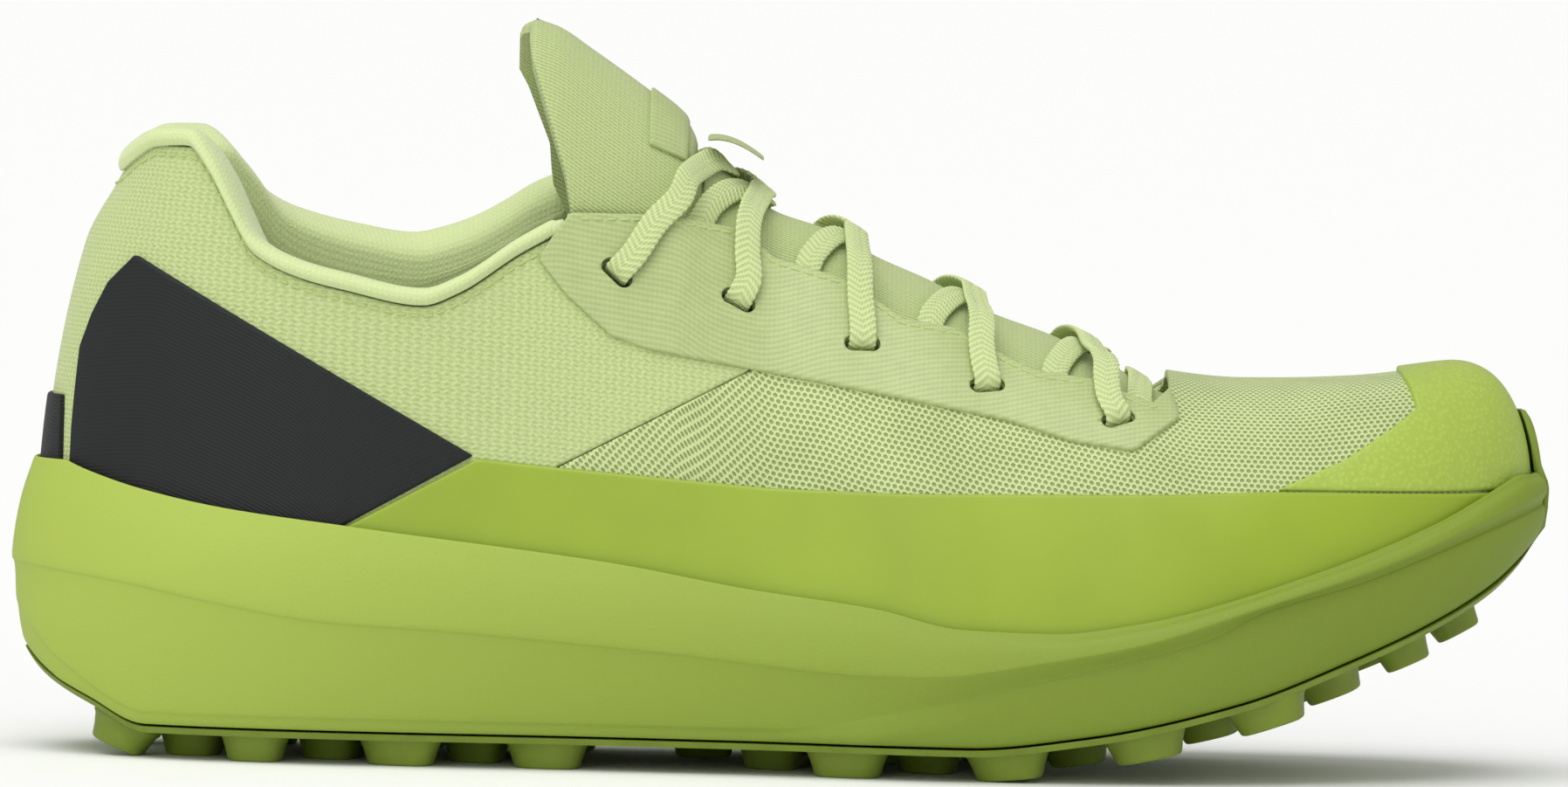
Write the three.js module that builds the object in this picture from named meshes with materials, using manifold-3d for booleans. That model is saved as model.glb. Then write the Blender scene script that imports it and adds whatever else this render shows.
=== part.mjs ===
// Trail running shoe for the right foot, built from separate closed pieces.
// Millimetres, +Z up. X runs from the heel to the toe tip, +Y is the inner (medial) side.
//
// The shoe is laid out on ribs. A rib is an upright half-plane that starts on the spine, the line
// under the middle of the foot, and points outwards. Ribs stand square to the spine along the
// waist and fan round a pole at the heel and another at the toe. Every piece is either a section
// swept over the ribs or a slice of a thin dome that follows the foot, cut to its outline as it is
// seen from the side.

import * as THREE from 'three';
import { mergeVertices } from 'three/addons/utils/BufferGeometryUtils.js';
import Module from 'manifold-3d';

const wasm = await Module();
wasm.setup();

// ---------------------------------------------------------------------------------------------
// Driving dimensions
// ---------------------------------------------------------------------------------------------

const SHOE_LENGTH = 296;
const DESIGN_LENGTH = 296;      // the length that the outlines below are written for
const SHOE_HEIGHT_SCALE = 1;    // stretches every height together
const HEEL_FAN = 100;           // ribs behind this station fan round the heel pole
const TOE_FAN = 200;            // ribs in front of this station fan round the toe pole
const FAN_POWER = 1.4;
const TOE_INFLARE = 8;          // how far the toe end of the spine swings to the inner side

const GAP = 0.3;                // between pieces that lie against each other
const SEAM_GAP = 0.35;          // between pieces that meet edge to edge

const SHELL_THICKNESS = 1.5;    // knitted quarters and mesh vamp
const FILM_THICKNESS = 0.7;     // rand, toe cap, eyestay and heel overlays
const STIFFENER_THICKNESS = 0.8;
const LINING_THICKNESS = 0.8;
const TONGUE_THICKNESS = 3.2;
const LABEL_THICKNESS = 0.8;
const PAD_THICKNESS = 7;        // collar padding
const PAD_DEPTH = 30;
const ROLL_HEIGHT = 3.5;        // how far the collar roll stands above the quarter's edge

const RIM_CLEARANCE = 1.3;      // upper's reference surface to the inside of the sole's rim
const BOARD_THICKNESS = 1.2;
const SOCKLINER_THICKNESS = 4;
const OUTSOLE_THICKNESS = 1.5;
const BUMPER_THICKNESS = 1.7;
const BUMPER_HEIGHT = 71;
const LUG_HEIGHT = 5;
const LUG_ROOT = 0.8;           // how deep a lug is rooted in the outsole sheet

const LACE_WIDTH = 5.2;
const LACE_THICKNESS = 1.0;
const SLOT_LENGTH = LACE_WIDTH + 1.8;
const SLOT_WIDTH = LACE_THICKNESS + 2.4;
const AGLET_LENGTH = 8;
const AGLET_WIDTH = 4;
const AGLET_THICKNESS = 1;

const TAB_WIDTH = 18;
const TAB_THICKNESS = 1;
const TAB_SET_FORWARD = 1.8;    // from the tongue's fold to the tab's root

const LATERAL = -1;
const MEDIAL = 1;
const SIDES = [LATERAL, MEDIAL];

// ---------------------------------------------------------------------------------------------
// Small mathematics
// ---------------------------------------------------------------------------------------------

const lerp = (a, b, t) => a + (b - a) * t;
const clamp = (v, lo, hi) => Math.min(hi, Math.max(lo, v));
const smooth = (a, b, v) => {
  const t = clamp((v - a) / (b - a), 0, 1);
  return t * t * (3 - 2 * t);
};

// A smooth curve through the points that never overshoots between them (monotone cubic).
function curveThrough(points) {
  const x = points.map((p) => p[0]);
  const y = points.map((p) => p[1]);
  const last = points.length - 1;
  const slope = [];
  for (let i = 0; i < last; i++) {
    slope.push((y[i + 1] - y[i]) / (x[i + 1] - x[i]));
  }
  const tangent = [slope[0]];
  for (let i = 1; i < last; i++) {
    const flat = slope[i - 1] * slope[i] <= 0;
    tangent.push(flat ? 0 : (2 * slope[i - 1] * slope[i]) / (slope[i - 1] + slope[i]));
  }
  tangent.push(slope[last - 1]);
  return (at) => {
    if (at <= x[0]) return y[0];
    if (at >= x[last]) return y[last];
    let i = 0;
    while (x[i + 1] < at) i++;
    const h = x[i + 1] - x[i];
    const t = (at - x[i]) / h;
    const a = (1 + 2 * t) * (1 - t) * (1 - t) * y[i] + t * (1 - t) * (1 - t) * h * tangent[i];
    const b = t * t * (3 - 2 * t) * y[i + 1] + t * t * (t - 1) * h * tangent[i + 1];
    return a + b;
  };
}

const SX = SHOE_LENGTH / DESIGN_LENGTH;
const SZ = SHOE_HEIGHT_SCALE;
const sized = (points) => points.map(([x, z]) => [x * SX, z * SZ]);
const along = (x) => x * SX;

// ---------------------------------------------------------------------------------------------
// Side elevation: heights along the shoe
// ---------------------------------------------------------------------------------------------

const baseLine = curveThrough(sized([
  [0, 24], [3, 19.5], [8.5, 14.3], [17.6, 9.5], [28, 5], [185, 5], [207, 7.4], [237, 14.4],
  [258, 22.6], [274, 30], [285, 36.6], [290, 41], [296, 48],
]));
const ledgeLine = curveThrough(sized([
  [0, 28], [9, 18], [28, 8.6], [143.6, 8.6], [177, 13.9], [193.6, 18.2], [216, 23.8], [231, 28],
  [241, 33.1], [261.5, 39.3], [276.7, 45.2], [284.5, 48.4], [296, 53],
]));
const creaseLine = curveThrough(sized([
  [0.4, 36.8], [22.6, 34.2], [40.8, 31], [62, 28], [84.6, 26.9], [129.4, 23.5], [165.8, 20.6],
  [179, 21], [200, 24.2], [217, 27.6], [241, 35.4], [262, 42.4], [284, 51.5], [296, 56.5],
]));
const rimLine = curveThrough(sized([
  [7, 56.5], [10.8, 55.1], [23.2, 51.8], [40.3, 48.8], [65.7, 46], [115.8, 40.4], [142.9, 36],
  [166.6, 33.1], [183.6, 29.6], [200.5, 29.2], [217.3, 31.4], [250.9, 41], [276, 50.8],
  [292.6, 59.6],
]));
// Where the foot rests: the underside of the upper.
const footLine = curveThrough(sized([
  [0, 40], [60, 36], [120, 31], [160, 26.5], [190, 24], [215, 25], [240, 30], [265, 38.5],
  [296, 50.5],
]));
// Top of the arch over the spine. Behind the tongue it is the crown of a dome that the ankle
// opening cuts away.
const crownLine = curveThrough(sized([
  [36.3, 130], [39.4, 142], [45, 155], [52, 165], [71, 174], [85, 163], [98, 148.1],
  [104, 145.8], [110, 141.9], [122, 133.6], [128, 129.0], [131, 125.3], [134, 121.5], [139, 116.6],
  [146, 111.3], [156, 108], [166, 102.8], [176, 98.6], [188, 92.6], [200, 88.4], [212, 82.6],
  [222, 77.4], [235, 76.2], [250, 76.2], [261, 77],
]));
// How square the arch is: 2 is an ellipse, more is boxier, less is more pointed.
const squareness = curveThrough([
  [along(36.3), 1.95], [along(60), 2.3], [along(100), 2.0], [along(130), 1.85], [along(160), 1.85],
  [along(200), 2.05], [along(235), 2.6], [along(261), 3.3],
]);
const toeSwell = curveThrough([[along(235), 0], [along(261), 4.5 * SZ]]);

const collarTop = {
  [LATERAL]: curveThrough(sized([
    [10, 113], [20, 118.5], [28, 121], [34, 120.4], [38.5, 115.5], [42.5, 108], [47, 100.5],
    [55.6, 96.2], [64, 94.1], [79.2, 91.4], [85.9, 93.8], [97.6, 101.6], [105.9, 106.2],
  ])),
  [MEDIAL]: curveThrough(sized([
    [10, 113], [20, 118.5], [28, 121], [34, 120.4], [40, 115.2], [46, 108], [52, 104.8],
    [64, 101.7], [75.6, 100.1], [81.5, 101.4], [87.4, 104.8], [93.2, 108.4], [105.9, 108],
  ])),
};

// ---------------------------------------------------------------------------------------------
// Plan view: half-widths along the shoe, measured out from the spine
// ---------------------------------------------------------------------------------------------

const HEEL_POLE = along(HEEL_FAN * (1 - 2 / Math.PI));
const TOE_POLE = along(TOE_FAN + (DESIGN_LENGTH - TOE_FAN) * (2 / Math.PI));
const HEEL_RADIUS = HEEL_POLE;
const TOE_RADIUS = SHOE_LENGTH - TOE_POLE;

const soleHalfWidth = {
  [LATERAL]: curveThrough([
    [0, HEEL_RADIUS], [along(25), 38.5], [along(60), 42.5], [along(100), 43.5], [along(140), 47.5],
    [along(185), 57], [along(212), 57.5], [along(245), 50], [along(272), 41], [along(296), TOE_RADIUS],
  ]),
  [MEDIAL]: curveThrough([
    [0, HEEL_RADIUS], [along(25), 38], [along(60), 39.5], [along(100), 38], [along(140), 38.5],
    [along(185), 46], [along(212), 47.5], [along(245), 44.5], [along(272), 39], [along(296), TOE_RADIUS],
  ]),
};
// The sole stands out past the upper by this much.
const soleMargin = curveThrough([
  [0, 5.7], [along(40), 6.4], [along(140), 6.2], [along(215), 5.8], [along(262), 5], [along(296), 4.1],
]);
const rimInset = curveThrough([[0, 4.0], [along(140), 3.2], [along(245), 2.6], [along(296), 0.8]]);
const lowerTuck = curveThrough([
  [0, 1.6], [along(40), 3], [along(110), 5], [along(150), 5], [along(262), 3.4], [along(296), 1.4],
]);
const creaseDepth = (x) => 0.9 * (1 - smooth(along(160), along(182), x));
const ledgeDepth = (x) => smooth(along(140), along(165), x);

const STATIONS = [
  0, 3, 9, 17, 28, 42, 58, 76, 94, 104, 112, 122, 131, 139, 147, 158, 171, 185, 200, 215, 228, 241,
  253, 264, 273, 280, 285, 288.5, 291.5, 294, 296,
].map(along);

// Spine point and outward direction of the rib at a station.
function rib(side, station) {
  const x = station / SX;
  let centre = x;
  let angle = 90;
  if (x < HEEL_FAN) {
    const q = (HEEL_FAN - x) / HEEL_FAN;
    centre = HEEL_FAN - (HEEL_FAN - HEEL_POLE / SX) * Math.sin((Math.PI * q) / 2);
    angle = 90 + 90 * q ** FAN_POWER;
  } else if (x > TOE_FAN) {
    const q = (x - TOE_FAN) / (DESIGN_LENGTH - TOE_FAN);
    centre = TOE_FAN + (TOE_POLE / SX - TOE_FAN) * Math.sin((Math.PI * q) / 2);
    angle = 90 - 90 * q ** FAN_POWER;
  }
  const turn = (angle * Math.PI) / 180;
  const onEnd = x <= 0 || x >= DESIGN_LENGTH;
  return {
    x: centre * SX,
    y: TOE_INFLARE * smooth(60, 261, centre),
    dx: Math.cos(turn),
    dy: onEnd ? 0 : side * Math.sin(turn),
  };
}

function place(side, station, r, z) {
  const at = rib(side, station);
  return [at.x + r * at.dx, at.y + r * at.dy, z];
}

const lengthwise = (side, station, r) => {
  const at = rib(side, station);
  return at.x + r * at.dx;
};

// ---------------------------------------------------------------------------------------------
// The foot-shaped reference surface
// ---------------------------------------------------------------------------------------------

const upperHalfWidth = (side, station) => soleHalfWidth[side](station) - soleMargin(station);

function archAt(side, station) {
  const spineX = rib(side, station).x;
  const width = upperHalfWidth(side, station);
  return {
    width,
    foot: footLine(lengthwise(side, station, width)),
    crown: crownLine(spineX),
    power: 2 / squareness(spineX),
    swell: toeSwell(spineX),
  };
}

function archPoint(arch, alpha) {
  const reach = Math.max(0, Math.cos(alpha)) ** arch.power;
  const rise = Math.max(0, Math.sin(alpha)) ** arch.power;
  const swell = arch.swell * 4 * reach * reach * (1 - reach * reach);
  return [arch.width * reach, arch.foot + (arch.crown - arch.foot) * rise + swell];
}

// Point (r, z) of a rib's arch at an angle from the sole (0) to the spine (90 degrees), moved out
// from the surface by offset.
function surface(side, station, alpha, offset) {
  const arch = archAt(side, station);
  const [r, z] = archPoint(arch, alpha);
  if (alpha <= 0) return [r + offset, z];
  if (alpha >= Math.PI / 2) return [0, z + offset];
  const step = 0.004;
  const a = archPoint(arch, Math.max(0, alpha - step));
  const b = archPoint(arch, Math.min(Math.PI / 2, alpha + step));
  const size = Math.hypot(b[0] - a[0], b[1] - a[1]);
  const nr = (b[1] - a[1]) / size;
  const nz = (a[0] - b[0]) / size;
  return [Math.max(r + offset * nr, 0.25 * r), z + offset * nz];
}

// Angle at which the arch reaches a height.
function alphaAtHeight(side, station, height) {
  let low = 0;
  let high = Math.PI / 2;
  for (let i = 0; i < 40; i++) {
    const middle = (low + high) / 2;
    if (surface(side, station, middle, 0)[1] < height) low = middle;
    else high = middle;
  }
  return (low + high) / 2;
}

const radiusAtHeight = (side, station, height, offset) =>
  surface(side, station, alphaAtHeight(side, station, height), offset)[0];

// Station and angle of the surface point that is seen at (x, z) from the side.
function seenFromSide(side, x, z) {
  let station = x;
  let alpha = 0;
  for (let i = 0; i < 60; i++) {
    alpha = alphaAtHeight(side, station, z);
    const r = surface(side, station, alpha, 0)[0];
    station = clamp(station + 0.7 * (x - lengthwise(side, station, r)), 0, SHOE_LENGTH);
  }
  return { station, alpha };
}

// Height where a line of the side elevation crosses a rib.
function lineOnRib(line, side, station) {
  let height = line(station);
  for (let i = 0; i < 30; i++) {
    const r = radiusAtHeight(side, station, height, 0);
    height = lerp(height, line(lengthwise(side, station, r)), 0.6);
  }
  return height;
}

// ---------------------------------------------------------------------------------------------
// Solids
// ---------------------------------------------------------------------------------------------

function solidFrom(geometry) {
  const bare = geometry.index ? geometry.toNonIndexed() : geometry.clone();
  for (const name of Object.keys(bare.attributes)) {
    if (name !== 'position') bare.deleteAttribute(name);
  }
  const merged = mergeVertices(bare, 1e-4);
  const index = [];
  const source = merged.index.array;
  for (let i = 0; i < source.length; i += 3) {
    const [a, b, c] = [source[i], source[i + 1], source[i + 2]];
    if (a !== b && b !== c && c !== a) index.push(a, b, c);
  }
  const mesh = new wasm.Mesh({
    numProp: 3,
    vertProperties: new Float32Array(merged.attributes.position.array),
    triVerts: new Uint32Array(index),
  });
  return new wasm.Manifold(mesh);
}

function geometryFrom(solid) {
  const mesh = solid.getMesh();
  const geometry = new THREE.BufferGeometry();
  geometry.setAttribute('position', new THREE.BufferAttribute(new Float32Array(mesh.vertProperties), 3));
  geometry.setIndex(new THREE.BufferAttribute(new Uint32Array(mesh.triVerts), 1));
  geometry.computeVertexNormals();
  return geometry;
}

function triangles(faces) {
  const geometry = new THREE.BufferGeometry();
  geometry.setAttribute('position', new THREE.Float32BufferAttribute(faces.flat(2), 3));
  return geometry;
}

// Sweeps an open section from the top of the spine round to the bottom of the spine over every
// rib on both sides. The two halves share the spine and the end ribs, so the result is closed.
// `mirrored` says from which point of the section on the quads are split along the other diagonal.
function sweepHalves(section, mirrored = Infinity) {
  const faces = [];
  for (const side of SIDES) {
    const rows = STATIONS.map((station) =>
      section(side, station).map(([r, z]) => place(side, station, r, z)));
    for (let i = 0; i + 1 < rows.length; i++) {
      for (let j = 0; j + 1 < rows[i].length; j++) {
        const [a, b, c, d] = [rows[i][j], rows[i + 1][j], rows[i + 1][j + 1], rows[i][j + 1]];
        const halves = j < mirrored ? [[a, b, c], [a, c, d]] : [[a, b, d], [b, c, d]];
        faces.push(...(side === MEDIAL ? halves : halves.map(([u, v, w]) => [u, w, v])));
      }
    }
  }
  return solidFrom(triangles(faces));
}

// Joins closed rings of points into a solid with flat ends.
function loft(rings) {
  const faces = [];
  const count = rings[0].length;
  for (let i = 0; i + 1 < rings.length; i++) {
    for (let j = 0; j < count; j++) {
      const k = (j + 1) % count;
      faces.push([rings[i][j], rings[i][k], rings[i + 1][k]], [rings[i][j], rings[i + 1][k], rings[i + 1][j]]);
    }
  }
  const caps = [[rings[0], true], [rings[rings.length - 1], false]];
  for (const [ring, first] of caps) {
    const middle = [0, 1, 2].map((axis) => ring.reduce((sum, p) => sum + p[axis], 0) / count);
    for (let j = 0; j < count; j++) {
      const k = (j + 1) % count;
      faces.push(first ? [middle, ring[k], ring[j]] : [middle, ring[j], ring[k]]);
    }
  }
  const solid = solidFrom(triangles(faces));
  return solid.volume() > 0 ? solid : solidFrom(triangles(faces.map(([a, b, c]) => [a, c, b])));
}

// A block whose outline is drawn in side elevation and that runs from yLow to yHigh.
function sideBlock(outline, yLow, yHigh) {
  const shape = new THREE.Shape(outline.map(([x, z]) => new THREE.Vector2(x, z)));
  const geometry = new THREE.ExtrudeGeometry(shape, { depth: yHigh - yLow, bevelEnabled: false });
  geometry.rotateX(Math.PI / 2);
  geometry.translate(0, yHigh, 0);
  return solidFrom(geometry);
}

const FAR = 140;                 // beyond every piece, sideways
const TOP = 190 * SZ;            // above every piece
const BELOW = -10;
const CENTRE_SEAM = 0.25;        // half of the gap between a lateral piece and its medial twin

function halfBlock(side, outline, splitAt = 0) {
  return side === LATERAL
    ? sideBlock(outline, -FAR, splitAt - CENTRE_SEAM)
    : sideBlock(outline, splitAt + CENTRE_SEAM, FAR);
}

const ANGLES = [0, 14, 30, 46, 62, 77, 90].map((a) => (a * Math.PI) / 180);

// A thin dome over the whole foot between two offsets from the reference surface.
const domes = new Map();
function dome(inner, outer) {
  const key = `${inner} ${outer}`;
  if (!domes.has(key)) {
    domes.set(key, sweepHalves((side, station) => [
      ...ANGLES.map((a) => surface(side, station, a, outer)).reverse(),
      ...ANGLES.map((a) => surface(side, station, a, inner)),
    ], ANGLES.length));
  }
  return domes.get(key);
}

// ---------------------------------------------------------------------------------------------
// Sole
// ---------------------------------------------------------------------------------------------

const BOARD_TOP = -GAP;                                  // below the foot line
const SOLE_FLOOR = BOARD_TOP - BOARD_THICKNESS - GAP;    // below the foot line
const CORNER_HEIGHT = 1.6;
const UNDERSIDE_BEND = 0.6;                              // share of the half-width where the underside bends
const BAND_HEIGHT = 4;

// The sole's outer wall at a rib, from its bottom corner to the rim, as (r, z) points.
function soleWall(side, station) {
  const width = soleHalfWidth[side](station);
  const x = lengthwise(side, station, width);
  const tuck = lowerTuck(x);
  const step = 1.3 * ledgeDepth(x);
  const corner = width - tuck - 2.4;
  const base = baseLine(lengthwise(side, station, corner));
  const ledge = Math.max(ledgeLine(x), base + CORNER_HEIGHT + 2.2);
  const crease = Math.max(creaseLine(x), ledge + 1.6);
  const rim = Math.max(rimLine(x), crease + 1.6);
  return [
    [corner, base],
    [corner + 1.0, base + CORNER_HEIGHT],
    [width - tuck + step - 0.5, Math.max(ledge - BAND_HEIGHT * SZ, base + CORNER_HEIGHT + 0.8)],
    [width - tuck + step, ledge],
    [width - tuck * 0.75, ledge + 0.7],
    [width - creaseDepth(x), crease - 0.7],
    [width, crease],
    [width - rimInset(station) * 0.35, lerp(crease, rim, 0.55)],
    [width - rimInset(station), rim - 0.8],
    [width - rimInset(station) - 0.4, rim],
  ];
}

// Radius of the sole's outside at a height. Above the rim it stands off the upper by the rim's
// clearance and the bumper.
function wallRadius(side, station, wall, height) {
  const rim = wall[wall.length - 1];
  if (height >= rim[1]) {
    const above = radiusAtHeight(side, station, height, 0) + RIM_CLEARANCE + BUMPER_THICKNESS;
    const atRim = radiusAtHeight(side, station, rim[1], 0) + RIM_CLEARANCE + BUMPER_THICKNESS;
    return Math.max(above, rim[0] + above - atRim);
  }
  for (let i = 0; i + 1 < wall.length; i++) {
    if (height <= wall[i + 1][1]) {
      return lerp(wall[i][0], wall[i + 1][0], clamp((height - wall[i][1]) / (wall[i + 1][1] - wall[i][1]), 0, 1));
    }
  }
  return rim[0];
}

// Radii at which every layer under the foot bends, so that the layers stay parallel.
const footRadii = (side, station) => [0, 0.65].map((share) => share * upperHalfWidth(side, station));

// Height of the foot line under a point of a rib, on straight stretches between those radii.
function footHeight(side, station, r) {
  const radii = [...footRadii(side, station), upperHalfWidth(side, station) + RIM_CLEARANCE];
  const i = r < radii[1] ? 0 : 1;
  const [low, high] = [radii[i], radii[i + 1]].map((at) => footLine(lengthwise(side, station, at)));
  return lerp(low, high, (r - radii[i]) / (radii[i + 1] - radii[i]));
}

const floorAt = (side, station, r) => footHeight(side, station, r) + SOLE_FLOOR;
const undersideAt = (side, station, r) => baseLine(lengthwise(side, station, r));

function soleBody() {
  return sweepHalves((side, station) => {
    const wall = soleWall(side, station);
    const rim = wall[wall.length - 1];
    const inner = upperHalfWidth(side, station) + RIM_CLEARANCE;
    const wallFoot = floorAt(side, station, inner);
    const cup = [0.5, 1].map((t) => {
      const height = lerp(wallFoot, rim[1], t);
      const r = radiusAtHeight(side, station, height, 0) + RIM_CLEARANCE;
      return [Math.min(r, rim[0] - 0.5), height - (t === 1 ? 0.4 : 0)];
    });
    const corner = wall[0][0];
    return [
      ...footRadii(side, station).map((r) => [r, floorAt(side, station, r)]),
      [inner, wallFoot],
      ...cup,
      ...wall.slice().reverse(),
      [corner * UNDERSIDE_BEND, undersideAt(side, station, corner * UNDERSIDE_BEND)],
      [0, undersideAt(side, station, 0)],
    ];
  });
}

// How high the outsole rubber comes up the outside of the sole: a narrow lip all round, and the
// toe bumper in front.
function rubberTop(side, station, base) {
  const lip = base + 1;
  return lerp(lip, BUMPER_HEIGHT * SZ, smooth(along(282), along(290.5), station));
}

// The rubber sheet that wraps the sole: thickness t, drawn larger by grow on its outside.
function rubberWrap(t, grow) {
  const fractions = [0.04, 0.2, 0.55, 1];
  return sweepHalves((side, station) => {
    const wall = soleWall(side, station);
    const [corner, base] = wall[0];
    const top = rubberTop(side, station, base) + (grow > 0 ? GAP : 0);
    const lip = smooth(along(282), along(290.5), station);
    const side_t = lerp(t * 0.8, t + BUMPER_THICKNESS - OUTSOLE_THICKNESS, lip);
    const out = fractions.map((f) => {
      const height = lerp(base, top, f);
      return [wallRadius(side, station, wall, height) + grow, height];
    });
    const back = fractions.map((f) => {
      const height = lerp(base, top, f) + (1 - f) * Math.min(t, 0.9 * (top - base));
      return [wallRadius(side, station, wall, height) - side_t, height];
    });
    const low = corner * UNDERSIDE_BEND;
    return [
      [0, undersideAt(side, station, 0) + t],
      [low, undersideAt(side, station, low) + t],
      ...back,
      ...out.slice().reverse(),
      [corner, base - grow],
      [low, undersideAt(side, station, low) - grow],
      [0, undersideAt(side, station, 0) - grow],
    ];
  });
}

// A lug: a tapered block on an arrow-shaped footprint that grows from the sheet. Its tip is square
// to the sheet, and is cut off level where it would pass through the ground.
function lug(x, y, length, width, turn) {
  const base = baseLine(x);
  const slope = Math.atan2(baseLine(x + 3) - baseLine(x - 3), 6);
  const outline = [[-0.5, -0.4], [0.38, -0.5], [0.5, 0], [0.38, 0.5], [-0.5, 0.4]];
  const placed = new THREE.Matrix4().makeTranslation(x, y, base)
    .multiply(new THREE.Matrix4().makeRotationY(-slope))
    .multiply(new THREE.Matrix4().makeRotationZ(turn));
  const ring = (grow, shift, z) => outline.map(([u, v]) => {
    const p = new THREE.Vector3(u * length * grow + shift, v * width * grow, z).applyMatrix4(placed);
    return [p.x, p.y, Math.max(p.z, 0)];
  });
  return loft([ring(1, 0, LUG_ROOT), ring(0.74, -0.6, -LUG_HEIGHT * SZ)]);
}

function lugRows() {
  const lugs = [];
  const edge = (side, x) => {
    const at = seenFromSide(side, x, footLine(x) + 0.5);
    const wall = soleWall(side, at.station);
    return place(side, at.station, wall[0][0], 0)[1];
  };
  const outerRow = { [LATERAL]: [24, 49, 77, 105, 162.5, 193, 219, 242], [MEDIAL]: [24, 50, 78, 107, 149.5, 176.5, 205, 231] };
  for (const side of SIDES) {
    for (const at of outerRow[side]) {
      const x = along(at);
      const length = at < 60 ? 14 : 17;
      lugs.push(lug(x, edge(side, x) - side * 8.2, length, 15, side * 0.12));
    }
  }
  const innerRow = { [LATERAL]: [36.5, 63, 91, 148, 178, 206, 231, 254], [MEDIAL]: [36.5, 63, 91, 134.5, 163, 190, 218, 243] };
  for (const side of SIDES) {
    for (const at of innerRow[side]) {
      const x = along(at);
      lugs.push(lug(x, edge(side, x) * 0.36 + 2 * side, 14, 13, side * 0.3));
    }
  }
  const toeRow = [[268, -14], [262, 22], [278, 2]];
  for (const [at, y] of toeRow) {
    lugs.push(lug(along(at), y + TOE_INFLARE * 0.6, 12, 13, 0));
  }
  const middleRow = [170.5, 198, 226, 250];
  for (const at of middleRow) {
    lugs.push(lug(along(at), 4, 12, 11, 0));
  }
  return lugs;
}

function outsole() {
  const sheet = rubberWrap(OUTSOLE_THICKNESS, 0);
  return lugRows().reduce((body, one) => body.add(one), sheet);
}

function midsole() {
  return soleBody().subtract(rubberWrap(OUTSOLE_THICKNESS + GAP, 2));
}

// A flat layer under the foot: rises from `bottom` to `top` above the foot line, with its edge
// held back from the upper's outside by `inset`.
function footLayer(bottom, top, inset, lip) {
  const bends = footRadii(LATERAL, 0).length;
  return sweepHalves((side, station) => {
    const width = upperHalfWidth(side, station) - inset;
    const foot = (r) => footHeight(side, station, r);
    const radii = footRadii(side, station);
    return [
      ...radii.map((r) => [r, foot(r) + top]),
      [width, foot(width) + top + lip],
      [width, foot(width) + bottom],
      ...radii.slice().reverse().map((r) => [r, foot(r) + bottom]),
    ];
  }, bends + 1);
}

const strobelBoard = () => footLayer(BOARD_TOP - BOARD_THICKNESS, BOARD_TOP, GAP, 0);

const LINING_OUTER = -SHELL_THICKNESS - GAP - STIFFENER_THICKNESS - GAP;
const LINING_INNER = LINING_OUTER - LINING_THICKNESS;
const sockliner = () =>
  footLayer(BOARD_TOP + GAP, BOARD_TOP + GAP + SOCKLINER_THICKNESS, -LINING_INNER + 2 * GAP, 2);

// ---------------------------------------------------------------------------------------------
// Outlines of the upper's pieces, in side elevation
// ---------------------------------------------------------------------------------------------

// Scalloped edge of the lace opening, from the ankle corner forwards to its end.
const throatEdge = sized([
  [107, 106.2], [126, 106], [139.6, 103.2], [146, 98], [159.7, 94.2], [171, 87], [181, 85.3],
  [191.8, 79.6], [197, 77.5], [207, 76.2], [219, 71.8], [222.5, 74.5],
]);
const SEAM_END = 3.45;           // position along the throat edge where the vamp seam meets it
const eyelets = sized([[115.8, 94.8], [139.4, 89.9], [163.3, 82.2], [187.3, 74.8], [212.1, 68.8]]);

const vampSeam = sized([[95, 20], [105.3, 57.9], [142, 77.3]]);
const randTop = sized([
  [90.2, 59.2], [105.3, 57.9], [145.9, 54.9], [171.7, 54.5], [223.4, 55.3], [242.1, 56.1],
]);
const capEdge = sized([[242.1, 56.1], [255.8, 62.1], [264.4, 67.7], [269.9, 71.8], [268.8, 75.3], [266.8, 79]]);
const eyestayLower = sized([
  [100.9, 97.4], [106.4, 90.7], [115.2, 83], [123, 80.4], [141.1, 77.3], [171.3, 72.2],
  [190.8, 68.6], [203.7, 64.8], [215.4, 63.2], [224.5, 69.5],
]);

function pointOnPath(path, position) {
  const i = Math.min(Math.floor(position), path.length - 2);
  const t = position - i;
  return [lerp(path[i][0], path[i + 1][0], t), lerp(path[i][1], path[i + 1][1], t)];
}

const throatFrom = (position) => [
  pointOnPath(throatEdge, position), ...throatEdge.slice(Math.floor(position) + 1),
];
const throatUpTo = (position) => [
  ...throatEdge.slice(0, Math.floor(position) + 1), pointOnPath(throatEdge, position),
];
const shifted = (points, dx, dz) => points.map(([x, z]) => [x + dx, z + dz]);

function collarSeam(side) {
  const stations = [-6, 8, 16, 22, 28, 34, 38.5, 42.5, 47, 51, 55.6, 64, 72, 79.2, 85.9, 92, 97.6, 104];
  return stations.map((x) => [along(x), collarTop[side](along(x)) - ROLL_HEIGHT]);
}

function quarter(side) {
  const outline = [
    [along(-6), BELOW], [vampSeam[0][0], BELOW], ...vampSeam, ...throatUpTo(SEAM_END).reverse(),
    ...collarSeam(side).reverse(),
  ];
  return dome(-SHELL_THICKNESS, 0).intersect(halfBlock(side, outline));
}

function vamp() {
  const outline = [
    [vampSeam[0][0] + SEAM_GAP, BELOW], ...shifted(vampSeam, SEAM_GAP, 0),
    ...shifted(throatFrom(SEAM_END).slice(0, 1), SEAM_GAP, 0), ...throatFrom(SEAM_END).slice(1),
    [along(222.5), TOP], [along(310), TOP], [along(310), BELOW],
  ];
  return dome(-SHELL_THICKNESS, 0).intersect(sideBlock(outline, -FAR, FAR));
}

const FILM_INNER = GAP;
const FILM_OUTER = GAP + FILM_THICKNESS;

function eyestay(side) {
  const outline = [...eyestayLower, ...throatEdge.slice().reverse().slice(1), [along(103.6), 101.6 * SZ]];
  return dome(FILM_INNER, FILM_OUTER).intersect(halfBlock(side, outline));
}

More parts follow.
